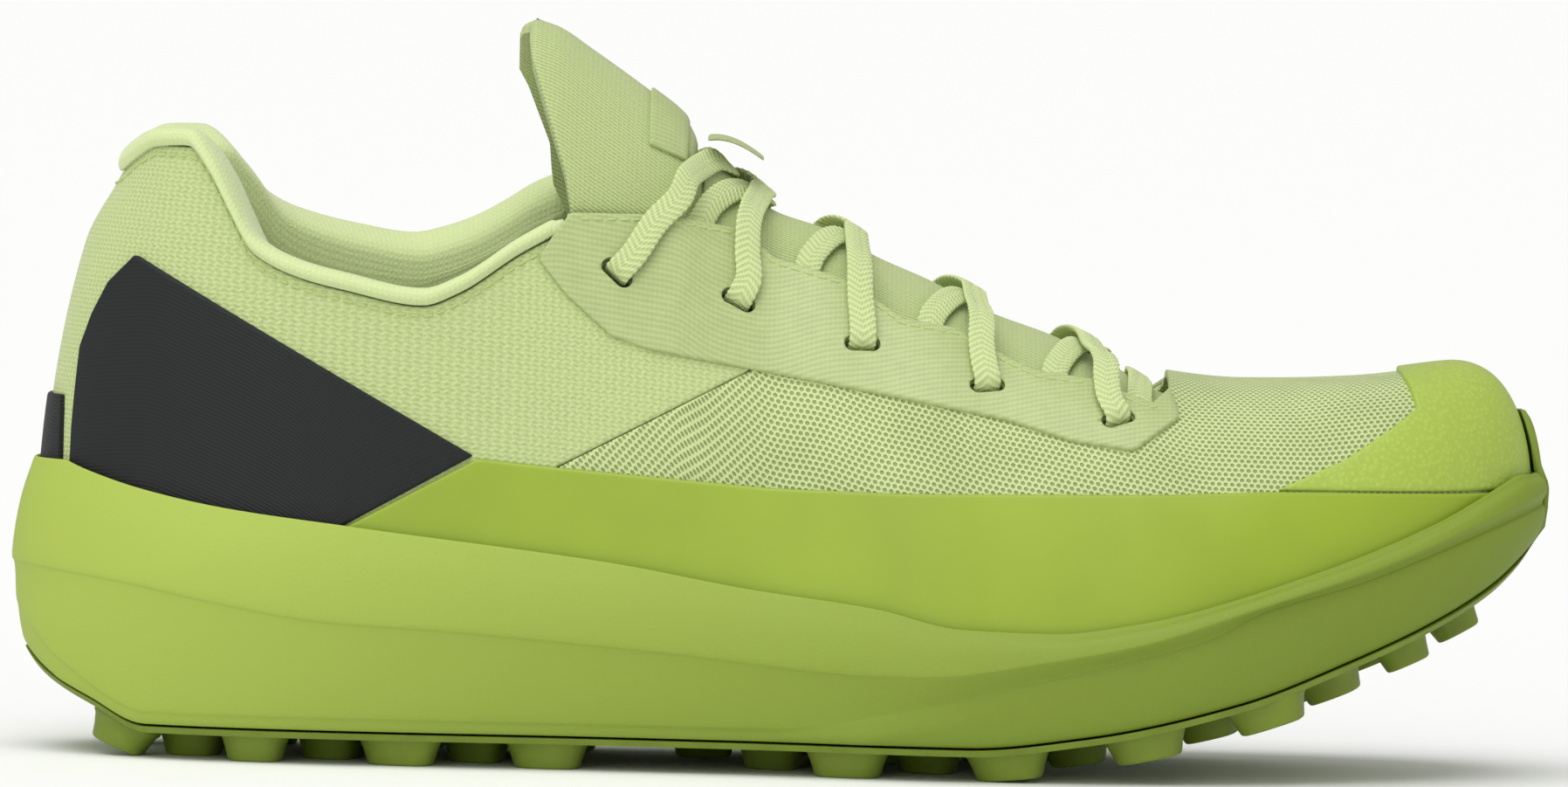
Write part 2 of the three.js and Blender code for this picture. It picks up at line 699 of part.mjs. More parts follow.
const BACKING_OUTER = -SHELL_THICKNESS - GAP;
const BACKING_THICKNESS = 0.6;

function eyestayBacking(side) {
  const lower = shifted(eyestayLower.slice(1, -1), 1.5, 3.6 * SZ);
  const outline = [...lower, ...shifted(throatEdge.slice(1, -1), 0, -0.6).reverse()];
  return dome(BACKING_OUTER - BACKING_THICKNESS, BACKING_OUTER).intersect(halfBlock(side, outline));
}

function toeCap() {
  const outline = [
    ...shifted(capEdge, 0, SEAM_GAP), [along(266.8), TOP], [along(310), TOP], [along(310), capEdge[0][1] + SEAM_GAP],
  ];
  return dome(FILM_INNER, FILM_OUTER).intersect(sideBlock(outline, -FAR, FAR));
}

// Films reach down between the upper and the sole's rim by this much.
const TUCKED = 4 * SZ;

function rand(side) {
  const tucked = [];
  for (let x = 62; x <= 296; x += 13) {
    tucked.push([along(x), rimLine(along(x)) - TUCKED]);
  }
  const outline = [
    ...tucked, [along(310), rimLine(along(296)) - TUCKED], [along(310), randTop[5][1]],
    ...randTop.slice().reverse(), [along(66.2), 46 * SZ],
  ];
  return dome(FILM_INNER, FILM_OUTER).intersect(halfBlock(side, outline, TOE_INFLARE));
}

function heelPanel(side) {
  const outline = sized([
    [12.2, 44], [12.6, 67.1], [13.5, 77.4], [16.1, 84.9], [19.1, 90.9], [24.1, 96.1],
    [89.6, 59.8], [66, 46.4], [60, 42.4],
  ]);
  return dome(FILM_INNER, FILM_OUTER).intersect(halfBlock(side, outline));
}

function heelStrip() {
  const outline = sized([[-6, 50], [10.2, 50], [10.2, 66], [8.6, 68.6], [-6, 68.6]]);
  return dome(FILM_INNER, FILM_OUTER).intersect(sideBlock(outline, -FAR, FAR));
}

const STIFFENER_OUTER = -SHELL_THICKNESS - GAP;

function heelCounter() {
  const outline = sized([[-6, 42.5], [58, 41], [72, 45], [66, 58], [44, 72], [22, 84], [-6, 84]]);
  return dome(STIFFENER_OUTER - STIFFENER_THICKNESS, STIFFENER_OUTER).intersect(sideBlock(outline, -FAR, FAR));
}

function toePuff() {
  const outline = sized([[256, 40], [262, 58], [272, 68], [274, 73], [310, 73], [310, 40]]);
  return dome(STIFFENER_OUTER - STIFFENER_THICKNESS, STIFFENER_OUTER).intersect(sideBlock(outline, -FAR, FAR));
}

// The tongue's side edges and the lining's upper edge run under the eyelets, clear of the lace.
const tongueSide = eyelets.map(([x, z], i) => [i === 0 ? along(107.6) : x, z - [12, 8, 5, 5, 5][i] * SZ]);

function lining() {
  const underPad = [[-6, 84], [20, 84], [44, 70], [60, 62.5], [80, 58.5], [96, 62], [104, 70]];
  const outline = [
    [along(-6), BELOW], ...sized(underPad), ...shifted(tongueSide, 0, -1),
    [along(226.8), 61.5 * SZ], [along(226.8), TOP], [along(310), TOP], [along(310), BELOW],
  ];
  return dome(LINING_INNER, LINING_OUTER).intersect(sideBlock(outline, -FAR, FAR));
}

// ---------------------------------------------------------------------------------------------
// Collar padding: one roll all round the ankle opening, from one ankle corner to the other
// ---------------------------------------------------------------------------------------------

const PAD_FRONT = 103.5;

function collarPadding() {
  const section = (side, station) => {
    const top = lineOnRib(collarTop[side], side, station);
    const thin = 1 - 0.35 * smooth(along(70), along(PAD_FRONT), station);
    const inner = LINING_OUTER - PAD_THICKNESS * thin;
    const deep = PAD_DEPTH * SZ * (1 - 0.35 * smooth(along(60), along(PAD_FRONT), station));
    const loop = [
      [-ROLL_HEIGHT + 1.1, 0.1], [-ROLL_HEIGHT + 1.3, 1.1], [-1.2, 1.5], [-0.2, 0.5], [0, -1.6],
      [-0.6, -4], [-2.6, inner + 0.8], [-7, inner], [-deep * 0.55, inner * 0.92],
      [-deep * 0.85, inner * 0.62], [-deep, LINING_OUTER - 0.6], [-deep, LINING_OUTER],
      [-deep * 0.5, LINING_OUTER], [-7, LINING_OUTER], [-ROLL_HEIGHT - 0.8, LINING_OUTER],
      [-ROLL_HEIGHT + 1.1, LINING_OUTER + 0.6],
    ];
    return loop.map(([down, offset]) => {
      const alpha = alphaAtHeight(side, station, top + down);
      const [r, z] = surface(side, station, alpha, offset);
      return place(side, station, r, z);
    });
  };
  const stations = [5, 11, 17, 23, 29, 35, 40, 44, 47.5, 51, 54.5, 58, 62, 70, 79, 84, 88, 92, 97, PAD_FRONT].map(along);
  const rings = [
    ...stations.slice().reverse().map((x) => section(LATERAL, x)),
    section(MEDIAL, 0),
    ...stations.map((x) => section(MEDIAL, x)),
  ];
  return loft(rings);
}

// ---------------------------------------------------------------------------------------------
// Tongue: a lower part held under the lace and an upper part that folds forward over it
// ---------------------------------------------------------------------------------------------

const TONGUE_OUTER = -4.7;
const TONGUE_INNER = TONGUE_OUTER - TONGUE_THICKNESS;
const WING = 106.8 * SZ;         // the free part of the tongue stays above the lace opening's edge
const FOLD_X = along(131);
const foldPath = [[along(126), WING], [FOLD_X, 117 * SZ], [FOLD_X, TOP]];
const tongueRear = sized([[107, 106.8], [105.5, 115], [101.5, 128], [98.6, 138], [97.8, 146]]);

function tongueTop() {
  const outline = [...foldPath, [along(97.8), TOP], ...tongueRear.slice().reverse()];
  return dome(TONGUE_INNER, TONGUE_OUTER).intersect(sideBlock(outline, -FAR, FAR));
}

function tongueBase() {
  const front = along(226);
  const outline = [
    ...tongueSide, [front, 62.5 * SZ], [front, TOP],
    ...shifted(foldPath, 2 * SEAM_GAP, 0).reverse(), [along(126), WING - 2 * SEAM_GAP],
    [along(107.6), WING - 2 * SEAM_GAP],
  ];
  return dome(TONGUE_INNER, TONGUE_OUTER).intersect(sideBlock(outline, -FAR, FAR));
}

const LABEL_INNER = TONGUE_OUTER + GAP;
const LABEL_OUTER = LABEL_INNER + LABEL_THICKNESS;

function tongueLabel() {
  const outline = sized([[117, 124], [121, 122], [129.6, 118.5], [129.6, 190], [117, 190]]);
  return dome(LABEL_INNER, LABEL_OUTER).intersect(sideBlock(outline, -FAR, FAR));
}

// The pull tab is sewn into the seam where the tongue folds, and stands out over the top lace.
const TAB_ROOT_X = FOLD_X + TAB_SET_FORWARD;
const TAB_TIP_X = along(143.6);
const TAB_LIFT_OFF = 0.7;
const TAB_DROOP = [0, 2.4, 1, -3];   // heights of the control points above the root

function tongueTab() {
  const root = worldOf(onSpine(TAB_ROOT_X, TONGUE_OUTER));
  const low = root.z + TAB_LIFT_OFF;
  const bend = TAB_DROOP.map((rise, i) =>
    new THREE.Vector2(lerp(TAB_ROOT_X, TAB_TIP_X, i / 3), low + rise));
  const points = new THREE.CubicBezierCurve(...bend).getPoints(6);
  const upper = points.map((p, i) => [p.x, p.y + TAB_THICKNESS * lerp(1, 0.6, i / 6)]);
  const outline = [...points.map((p) => [p.x, p.y]), ...upper.reverse()];
  return sideBlock(outline, root.y - TAB_WIDTH / 2, root.y + TAB_WIDTH / 2);
}

// ---------------------------------------------------------------------------------------------
// Lace: one flat ribbon that passes through all ten slots
// ---------------------------------------------------------------------------------------------

const SLOPE_ALLOWANCE = 1.33;    // offsets run square to the spine, but the instep slopes along it
const STRAND_GAP = 0.48;
const OVER_EYESTAY = FILM_OUTER + (STRAND_GAP + LACE_THICKNESS / 2) * SLOPE_ALLOWANCE;
const LOWER_STRAND = TONGUE_OUTER + (STRAND_GAP + LACE_THICKNESS / 2) * SLOPE_ALLOWANCE;
const UPPER_STRAND = LOWER_STRAND + (STRAND_GAP + LACE_THICKNESS) * SLOPE_ALLOWANCE;
const crossings = [144, 161.5, 184.5, 206.5].map(along);
const emergences = sized([[130, 104.4], [150.5, 95.6], [174, 85.2], [198.5, 76], [216.5, 71.4]]);
const TOP_BAR_X = along(137);
const BOTTOM_BAR_X = along(217);

// A place on the reference surface: station, swing from the spine (negative on the lateral side)
// and offset.
function onSurface(side, [x, z], offset) {
  const { station, alpha } = seenFromSide(side, x, z);
  return { station, swing: side * (Math.PI / 2 - alpha), offset };
}

const onSpine = (x, offset) => ({ station: x, swing: 0, offset });

// Index of the interval of a rising list that holds a value.
function bracket(list, value) {
  const above = list.findIndex((entry) => entry > value);
  return above < 0 ? list.length - 2 : Math.max(above - 1, 0);
}

// The ribbon lies on the same facets as the domes, so both use the same ribs and angles.
function worldOf({ station, swing, offset }) {
  const side = swing < 0 ? LATERAL : MEDIAL;
  const alpha = Math.PI / 2 - Math.abs(swing);
  const i = bracket(STATIONS, station);
  const j = bracket(ANGLES, alpha);
  const forward = (station - STATIONS[i]) / (STATIONS[i + 1] - STATIONS[i]);
  const upward = (alpha - ANGLES[j]) / (ANGLES[j + 1] - ANGLES[j]);
  const corner = (di, dj) => {
    const [r, z] = surface(side, STATIONS[i + di], ANGLES[j + dj], offset);
    return new THREE.Vector3(...place(side, STATIONS[i + di], r, z));
  };
  const low = corner(0, 0).lerp(corner(1, 0), forward);
  const high = corner(0, 1).lerp(corner(1, 1), forward);
  return low.lerp(high, upward);
}

// Outward normal of the surface there.
function normalAt(where) {
  const step = 0.6;
  const swing = Math.abs(where.swing) < 0.03 ? 0.03 : where.swing;
  const at = (alongX, around) => worldOf({
    station: where.station + alongX, swing: swing + around, offset: where.offset,
  });
  const lengthways = at(step, 0).sub(at(-step, 0));
  const sideways = at(0, 0.02).sub(at(0, -0.02));
  const normal = new THREE.Vector3().crossVectors(lengthways, sideways).normalize();
  const inward = worldOf({ ...where, offset: where.offset - 1 });
  return normal.dot(inward.sub(worldOf(where))) > 0 ? normal.negate() : normal;
}

// The slot's own axes: `up` runs along the surface towards the lace opening.
function slotFrame(side, row) {
  const where = onSurface(side, eyelets[row], 0);
  const centre = worldOf(where);
  const normal = normalAt(where);
  const target = row === 0 ? [TOP_BAR_X, 118.5 * SZ] : [crossings[row - 1] + along(2), throatEdge[2 * row + 1][1] + 5];
  const aim = new THREE.Vector3(target[0] - eyelets[row][0], 0, target[1] - eyelets[row][1]);
  const up = aim.sub(normal.clone().multiplyScalar(aim.dot(normal))).normalize();
  return { centre, normal, up };
}

function slotCutter(side, row) {
  const { centre, normal, up } = slotFrame(side, row);
  const across = new THREE.Vector3().crossVectors(up, normal);
  const round = SLOT_WIDTH / 2;
  const straight = SLOT_LENGTH / 2 - round;
  const shape = new THREE.Shape();
  shape.absarc(straight, 0, round, -Math.PI / 2, Math.PI / 2, false);
  shape.absarc(-straight, 0, round, Math.PI / 2, (3 * Math.PI) / 2, false);
  const geometry = new THREE.ExtrudeGeometry(shape, { depth: 7, bevelEnabled: false, curveSegments: 2 });
  geometry.translate(0, 0, -4.5);
  geometry.applyMatrix4(new THREE.Matrix4().makeBasis(across, up, normal).setPosition(centre));
  return solidFrom(geometry);
}

function cutSlots(solid, side) {
  return eyelets.reduce((body, _, row) => body.subtract(slotCutter(side, row)), solid);
}

// Samples of the ribbon from `from` to `to` over the surface, both ends left out.
function glide(from, to, count) {
  const samples = [];
  for (let i = 1; i <= count; i++) {
    const t = i / (count + 1);
    const ease = smooth(0, 1, t);
    const where = {
      station: lerp(from.station, to.station, t),
      swing: lerp(from.swing, to.swing, t),
      offset: lerp(from.offset, to.offset, ease),
    };
    samples.push({ point: worldOf(where), normal: normalAt(where) });
  }
  return samples;
}

// The hairpin through a slot, from the outside to the inside of the upper.
function hairpin(side, row) {
  const { centre, normal, up } = slotFrame(side, row);
  const at = (rise, offset, tilt) => ({
    point: centre.clone().addScaledVector(up, rise).addScaledVector(normal, offset),
    normal: normal.clone().multiplyScalar(Math.cos(tilt)).addScaledVector(up, -Math.sin(tilt)),
  });
  return [
    at(3.2, OVER_EYESTAY, 0), at(1.3, OVER_EYESTAY - 0.1, 0.25), at(0.25, OVER_EYESTAY - 0.8, 1.1),
    at(0, -0.7, Math.PI / 2), at(0.25, LOWER_STRAND + 0.75, Math.PI - 1.1),
    at(1.3, LOWER_STRAND + 0.1, Math.PI - 0.25), at(3.2, LOWER_STRAND, Math.PI),
  ];
}

// Straight through a slot: the ribbon keeps its direction and ends up on the inside.
function passThrough(side, row) {
  const outside = hairpin(side, row).slice(0, 4);
  const { centre, normal, up } = slotFrame(side, row);
  const at = (drop, offset, tilt) => ({
    point: centre.clone().addScaledVector(up, -drop).addScaledVector(normal, offset),
    normal: normal.clone().multiplyScalar(Math.cos(tilt)).addScaledVector(up, -Math.sin(tilt)),
  });
  return [...outside, at(0.3, LOWER_STRAND + 0.7, 1.1), at(1.5, LOWER_STRAND + 0.1, 0.25), at(3.4, LOWER_STRAND, 0)];
}

const flipped = (samples) => samples.map(({ point, normal }) => ({ point, normal: normal.clone().negate() }));
const sampleAt = (where) => ({ point: worldOf(where), normal: normalAt(where) });

// From under the edge beside row `row` on `side`, over the spine and into the next slot on the
// other side. The normals face outwards over the tongue.
function crossover(side, row) {
  const level = side === MEDIAL ? UPPER_STRAND : LOWER_STRAND;
  const hole = onSurface(-side, eyelets[row + 1], OVER_EYESTAY);
  const start = onSurface(side, emergences[row], LOWER_STRAND);
  const crest = onSpine(crossings[row], level);
  const rise = { ...hole, swing: hole.swing * 0.30, station: lerp(crest.station, hole.station, 0.25), offset: level };
  const fall = { ...start, swing: start.swing * 0.42, station: lerp(crest.station, start.station, 0.42), offset: level };
  const edge = { ...hole, swing: hole.swing * 0.66, station: lerp(crest.station, hole.station, 0.62), offset: OVER_EYESTAY + 0.2 };
  return [
    sampleAt(start), ...glide(start, fall, 1), sampleAt(fall), ...glide(fall, crest, 1), sampleAt(crest),
    ...glide(crest, rise, 1), sampleAt(rise), ...glide(rise, edge, 2), sampleAt(edge),
    ...glide(edge, onSlotLip(-side, row + 1), 1),
  ];
}

function onSlotLip(side, row) {
  const { centre, up } = slotFrame(side, row);
  const lip = centre.clone().addScaledVector(up, 4.6);
  return onSurface(side, [lip.x, lip.z], OVER_EYESTAY);
}

// From slot to slot along one strand, starting outside the slot of `row` on `side`.
function strandFrom(side, row) {
  const tail = { ...onSlotLip(side, row), offset: LOWER_STRAND };
  const edge = onSurface(side, emergences[row], LOWER_STRAND);
  const samples = [...hairpin(side, row), ...flipped(glide(tail, edge, 1))];
  const more = row < eyelets.length - 1 ? flipped(fromUnder(side, row)) : [];
  return [...samples, ...more];
}

const fromUnder = (side, row) => [...crossover(side, row), ...flipped(strandFrom(-side, row + 1))];

function ribbon(samples) {
  const rings = [];
  let before = null;
  samples.forEach((sample, i) => {
    const ahead = samples[Math.min(i + 1, samples.length - 1)].point;
    const behind = samples[Math.max(i - 1, 0)].point;
    const travel = ahead.clone().sub(behind).normalize();
    const across = new THREE.Vector3().crossVectors(travel, sample.normal).normalize();
    const face = new THREE.Vector3().crossVectors(across, travel).normalize();
    if (before && before.dot(across) < 0) {
      across.negate();
      face.negate();
    }
    before = across.clone();
    const half = LACE_WIDTH / 2;
    const thick = LACE_THICKNESS / 2;
    const corner = (u, v) => sample.point.clone().addScaledVector(across, u * half).addScaledVector(face, v * thick).toArray();
    rings.push([corner(-1, -1), corner(1, -1), corner(1, 1), corner(-1, 1)]);
  });
  return loft(rings);
}

// The top bar runs from outside the slot of row 0 on `side` up over the opening's edge to the spine.
function topBar(side) {
  const hole = onSlotLip(side, 0);
  const crest = onSpine(TOP_BAR_X, LOWER_STRAND);
  const shelf = (t, offset) => ({ station: lerp(crest.station, hole.station, 0.68 * t), swing: hole.swing * t, offset });
  const low = shelf(0.42, LOWER_STRAND);
  const edge = shelf(0.74, OVER_EYESTAY + 0.2);
  return [
    ...glide(hole, edge, 1), sampleAt(edge), ...glide(edge, low, 2), sampleAt(low), ...glide(low, crest, 1),
    sampleAt(crest),
  ];
}

// The ribbon starts inside the medial slot of the top row, crosses as the top bar, laces down to the
// bottom bar and back up, and ends under the medial eyestay.
function laceSamples() {
  const bottom = onSpine(BOTTOM_BAR_X, LOWER_STRAND);
  const [nearEdge, farEdge] = SIDES.map((side) => onSurface(side, emergences[4], LOWER_STRAND));
  const bar = [
    sampleAt(nearEdge), ...glide(nearEdge, bottom, 2), sampleAt(bottom), ...glide(bottom, farEdge, 2),
    sampleAt(farEdge),
  ];
  const lastEdge = onSurface(MEDIAL, emergences[0], LOWER_STRAND);
  const end = onSurface(MEDIAL, [along(127), 97.5 * SZ], LOWER_STRAND);
  return [
    ...passThrough(MEDIAL, 0).reverse(), ...topBar(MEDIAL), ...topBar(LATERAL).reverse().slice(1),
    ...strandFrom(LATERAL, 0), ...bar, ...fromUnder(MEDIAL, 0).reverse(), ...glide(lastEdge, end, 1),
    sampleAt(end),
  ];
}

// A pressed tip in line with the ribbon's last stretch.
function aglet(before, last) {
  const travel = last.point.clone().sub(before.point).normalize();
  const across = new THREE.Vector3().crossVectors(travel, last.normal).normalize();
  const face = new THREE.Vector3().crossVectors(across, travel);
  const tip = new THREE.BoxGeometry(AGLET_THICKNESS, AGLET_WIDTH, AGLET_LENGTH);
  const inwards = -0.35 * Math.sign(last.normal.z);
  const middle = last.point.clone().addScaledVector(travel, GAP + AGLET_LENGTH / 2)
    .addScaledVector(last.normal, inwards);
  tip.applyMatrix4(new THREE.Matrix4().makeBasis(face, across, travel).setPosition(middle));
  return solidFrom(tip);
}

// ---------------------------------------------------------------------------------------------
// Assembly
// ---------------------------------------------------------------------------------------------

const MATERIALS = {
  foam: { color: 0xa3bd49, roughness: 0.75 },
  rubber: { color: 0x93ac42, roughness: 0.6 },
  film: { color: 0xa2be46, roughness: 0.5 },
  cap: { color: 0xacc850, roughness: 0.6 },
  knit: { color: 0xd2e2a0, roughness: 0.9 },
  mesh: { color: 0xcddd9a, roughness: 0.9 },
  clearFilm: { color: 0xcfe09c, roughness: 0.55 },
  black: { color: 0x26292b, roughness: 0.6 },
  lining: { color: 0xcbdb9c, roughness: 0.95 },
  board: { color: 0xe8e8e0, roughness: 0.9 },
  stiffener: { color: 0xdadad2, roughness: 0.7 },
  tongue: { color: 0xc9da98, roughness: 0.9 },
  lace: { color: 0xcfdf9a, roughness: 0.9 },
  aglet: { color: 0xd8e4b0, roughness: 0.35 },
};

const shoe = new THREE.Group();

function addPiece(name, solid, look) {
  const material = new THREE.MeshStandardMaterial({ metalness: 0, ...MATERIALS[look] });
  const mesh = new THREE.Mesh(geometryFrom(solid), material);
  mesh.name = name;
  shoe.add(mesh);
}

addPiece('outsole', outsole(), 'rubber');
addPiece('midsole', midsole(), 'foam');
addPiece('strobel_board', strobelBoard(), 'board');
addPiece('sockliner', sockliner(), 'lining');
addPiece('heel_counter', heelCounter(), 'stiffener');
addPiece('toe_puff', toePuff(), 'stiffener');
for (const side of SIDES) {
  const name = side === LATERAL ? 'lateral' : 'medial';
  addPiece(`quarter_${name}`, cutSlots(quarter(side), side), 'knit');
  addPiece(`eyestay_${name}`, cutSlots(eyestay(side), side), 'clearFilm');
  addPiece(`eyestay_backing_${name}`, cutSlots(eyestayBacking(side), side), 'board');
  addPiece(`rand_${name}`, rand(side), 'film');
  addPiece(`heel_panel_${name}`, heelPanel(side), 'black');
}
addPiece('vamp', cutSlots(cutSlots(vamp(), LATERAL), MEDIAL), 'mesh');
addPiece('toe_cap', toeCap(), 'cap');
addPiece('heel_strip', heelStrip(), 'black');
addPiece('lining', lining(), 'lining');
addPiece('collar_padding', collarPadding(), 'lining');
addPiece('tongue_base', tongueBase(), 'tongue');
addPiece('tongue_top', tongueTop(), 'tongue');
addPiece('tongue_label', tongueLabel(), 'clearFilm');
addPiece('tongue_tab', tongueTab(), 'clearFilm');
const lacePath = laceSamples();
addPiece('lace', ribbon(lacePath), 'lace');
addPiece('aglet_start', aglet(lacePath[1], lacePath[0]), 'aglet');
addPiece('aglet_end', aglet(...lacePath.slice(-2)), 'aglet');

// The origin is under the middle of the shoe, on the ground.
const box = new THREE.Box3().setFromObject(shoe);
shoe.position.set(-(box.min.x + box.max.x) / 2, -(box.min.y + box.max.y) / 2, -box.min.z);

export default shoe;
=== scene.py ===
"""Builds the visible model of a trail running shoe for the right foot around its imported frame.

Shapes are worked out in millimetres, with X = 0 at the heel, the ground at Z = 0 and the inner
(medial) side at +Y, and are moved into the frame, in metres, when their meshes are made.
"""

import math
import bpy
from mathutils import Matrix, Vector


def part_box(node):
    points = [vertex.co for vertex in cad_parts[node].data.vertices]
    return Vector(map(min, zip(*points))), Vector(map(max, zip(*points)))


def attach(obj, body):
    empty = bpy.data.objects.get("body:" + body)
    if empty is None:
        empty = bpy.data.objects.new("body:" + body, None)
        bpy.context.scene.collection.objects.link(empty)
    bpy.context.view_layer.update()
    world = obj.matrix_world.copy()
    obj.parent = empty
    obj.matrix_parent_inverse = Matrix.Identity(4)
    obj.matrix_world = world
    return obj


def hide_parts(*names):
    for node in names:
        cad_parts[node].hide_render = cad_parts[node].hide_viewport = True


bl_info = {
    "name": "Trail shoe",
    "version": (1, 0, 0),
    "blender": (4, 5, 0),
    "location": "3D View > Sidebar > Trail shoe",
    "description": "Makes the sole, upper, tongue and lace of a trail running shoe",
    "category": "Add Mesh",
}

import bmesh
import bpy
import numpy as np
from bpy.props import FloatProperty, FloatVectorProperty, PointerProperty
from bpy.types import Operator, Panel, PropertyGroup
from mathutils import Matrix, Vector

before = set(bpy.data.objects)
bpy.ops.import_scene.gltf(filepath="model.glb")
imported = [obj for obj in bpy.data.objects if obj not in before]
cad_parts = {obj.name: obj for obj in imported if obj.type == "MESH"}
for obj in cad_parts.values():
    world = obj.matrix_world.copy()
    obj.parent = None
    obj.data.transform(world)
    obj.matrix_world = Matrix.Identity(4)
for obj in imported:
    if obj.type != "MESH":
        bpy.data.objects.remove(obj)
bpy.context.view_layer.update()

MM = 0.001
SHARP_EDGE = 40.0               # degrees
LATERAL, MEDIAL = -1, 1
SIDES = (LATERAL, MEDIAL)
SIDE_NAME = {LATERAL: "lateral", MEDIAL: "medial"}
SHOE, FLAP, TAB = "shoe", "tongue_flap", "pull_tab"

# ---------------------------------------------------------------------------------------------
# Form of the shoe
# ---------------------------------------------------------------------------------------------

LENGTH = 296.0
HEEL_FAN, TOE_FAN, FAN_POWER = 100.0, 200.0, 1.4
TOE_INFLARE = 8.0
HEEL_POLE = HEEL_FAN * (1 - 2 / math.pi)
TOE_POLE = TOE_FAN + (LENGTH - TOE_FAN) * (2 / math.pi)

GAP, SEAM_GAP = 0.3, 0.35
SHELL, FILM, STIFFENER, LINING = 1.5, 0.7, 0.8, 0.8
RIM_CLEARANCE, BOARD, SOCKLINER, OUTSOLE = 1.3, 1.2, 4.0, 1.5
BUMPER, BUMPER_HEIGHT, LUG_HEIGHT = 1.7, 71.0, 5.0
PAD, PAD_DEPTH, ROLL_HEIGHT, PAD_FRONT = 7.0, 30.0, 3.5, 103.5
LINING_OUTER = -SHELL - GAP - STIFFENER - GAP
LINING_INNER = LINING_OUTER - LINING
TONGUE_OUTER, TONGUE = -4.7, 3.2
TONGUE_INNER = TONGUE_OUTER - TONGUE
LABEL_INNER = TONGUE_OUTER + GAP
LABEL_OUTER = LABEL_INNER + 0.8
WING, FOLD_X, TAB_SET_FORWARD = 106.8, 131.0, 1.8
FILM_OUTER = GAP + FILM


def smooth(a, b, v):
    t = np.clip((v - a) / (b - a), 0, 1)
    return t * t * (3 - 2 * t)


def lerp(a, b, t):
    return a + (b - a) * t


def along_rows(grid):
    """Distance along each row of a grid of points, from the row's first point."""
    reach = np.linalg.norm(np.diff(grid, axis=1), axis=2)
    return np.concatenate([np.zeros((len(grid), 1)), np.cumsum(reach, axis=1)], axis=1)


def along_line(points):
    return along_rows(points[None])[0]


def unit(vectors):
    return vectors / np.linalg.norm(vectors, axis=1, keepdims=True)


def curve_through(*points):
    """A smooth curve through the points that never overshoots between them."""
    x, y = np.array(points, float).T
    h = np.diff(x)
    slope = np.diff(y) / h
    before, after = slope[:-1], slope[1:]
    total = np.where(before * after > 0, before + after, 1)
    inner = np.where(before * after > 0, 2 * before * after / total, 0)
    tangent = np.concatenate([slope[:1], inner, slope[-1:]])

    def at(v):
        v = np.clip(v, x[0], x[-1])
        i = np.clip(np.searchsorted(x, v, side="left") - 1, 0, len(h) - 1)
        t = (v - x[i]) / h[i]
        a = (1 + 2 * t) * (1 - t) ** 2 * y[i] + t * (1 - t) ** 2 * h[i] * tangent[i]
        return a + t * t * (3 - 2 * t) * y[i + 1] + t * t * (t - 1) * h[i] * tangent[i + 1]

    return at


def straight(*points):
    x, y = np.array(points, float).T
    return lambda v: np.interp(v, x, y)


base_line = curve_through(
    (0, 24), (3, 19.5), (8.5, 14.3), (17.6, 9.5), (28, 5), (185, 5), (207, 7.4), (237, 14.4),
    (258, 22.6), (274, 30), (285, 36.6), (290, 41), (296, 48))
ledge_line = curve_through(
    (0, 28), (9, 18), (28, 8.6), (143.6, 8.6), (177, 13.9), (193.6, 18.2), (216, 23.8), (231, 28),
    (241, 33.1), (261.5, 39.3), (276.7, 45.2), (284.5, 48.4), (296, 53))
crease_line = curve_through(
    (0.4, 36.8), (22.6, 34.2), (40.8, 31), (62, 28), (84.6, 26.9), (129.4, 23.5), (165.8, 20.6),
    (179, 21), (200, 24.2), (217, 27.6), (241, 35.4), (262, 42.4), (284, 51.5), (296, 56.5))
rim_line = curve_through(
    (7, 56.5), (10.8, 55.1), (23.2, 51.8), (40.3, 48.8), (65.7, 46), (115.8, 40.4), (142.9, 36),
    (166.6, 33.1), (183.6, 29.6), (200.5, 29.2), (217.3, 31.4), (250.9, 41), (276, 50.8),
    (292.6, 59.6))
foot_line = curve_through(
    (0, 40), (60, 36), (120, 31), (160, 26.5), (190, 24), (215, 25), (240, 30), (265, 38.5),
    (296, 50.5))
crown_line = curve_through(
    (36.3, 130), (39.4, 142), (45, 155), (52, 165), (71, 174), (85, 163), (98, 148.1),
    (104, 145.8), (110, 141.9), (122, 133.6), (128, 129.0), (131, 125.3), (134, 121.5),
    (139, 116.6), (146, 111.3), (156, 108), (166, 102.8), (176, 98.6), (188, 92.6), (200, 88.4),
    (212, 82.6), (222, 77.4), (235, 76.2), (250, 76.2), (261, 77))
squareness = curve_through(
    (36.3, 1.95), (60, 2.3), (100, 2.0), (130, 1.85), (160, 1.85), (200, 2.05), (235, 2.6),
    (261, 3.3))
toe_swell = curve_through((235, 0), (248, 2.25), (261, 4.5))
collar_top = {
    LATERAL: curve_through(
        (10, 110), (20, 115.2), (24, 118.8), (28, 120.7), (34, 120.6), (38.5, 115.5), (42.5, 108),
        (47, 100.5), (55.6, 96.2), (64, 94.1), (79.2, 91.4), (85.9, 93.8), (97.6, 101.6),
        (105.9, 106.2)),
    MEDIAL: curve_through(
        (10, 110), (20, 115.2), (24, 118.8), (28, 120.7), (34, 120.6), (40, 115.2), (46, 108),
        (52, 104.8), (64, 101.7), (75.6, 100.1), (81.5, 101.4), (87.4, 103.6), (93.2, 106.8),
        (99, 110.5), (105.9, 113.5)),
}
sole_half_width = {
    LATERAL: curve_through(
        (0, HEEL_POLE), (25, 38.5), (60, 42.5), (100, 43.5), (140, 47.5), (185, 57), (212, 57.5),
        (245, 50), (272, 41), (296, LENGTH - TOE_POLE)),
    MEDIAL: curve_through(
        (0, HEEL_POLE), (25, 38), (60, 39.5), (100, 38), (140, 38.5), (185, 46), (212, 47.5),
        (245, 44.5), (272, 39), (296, LENGTH - TOE_POLE)),
}
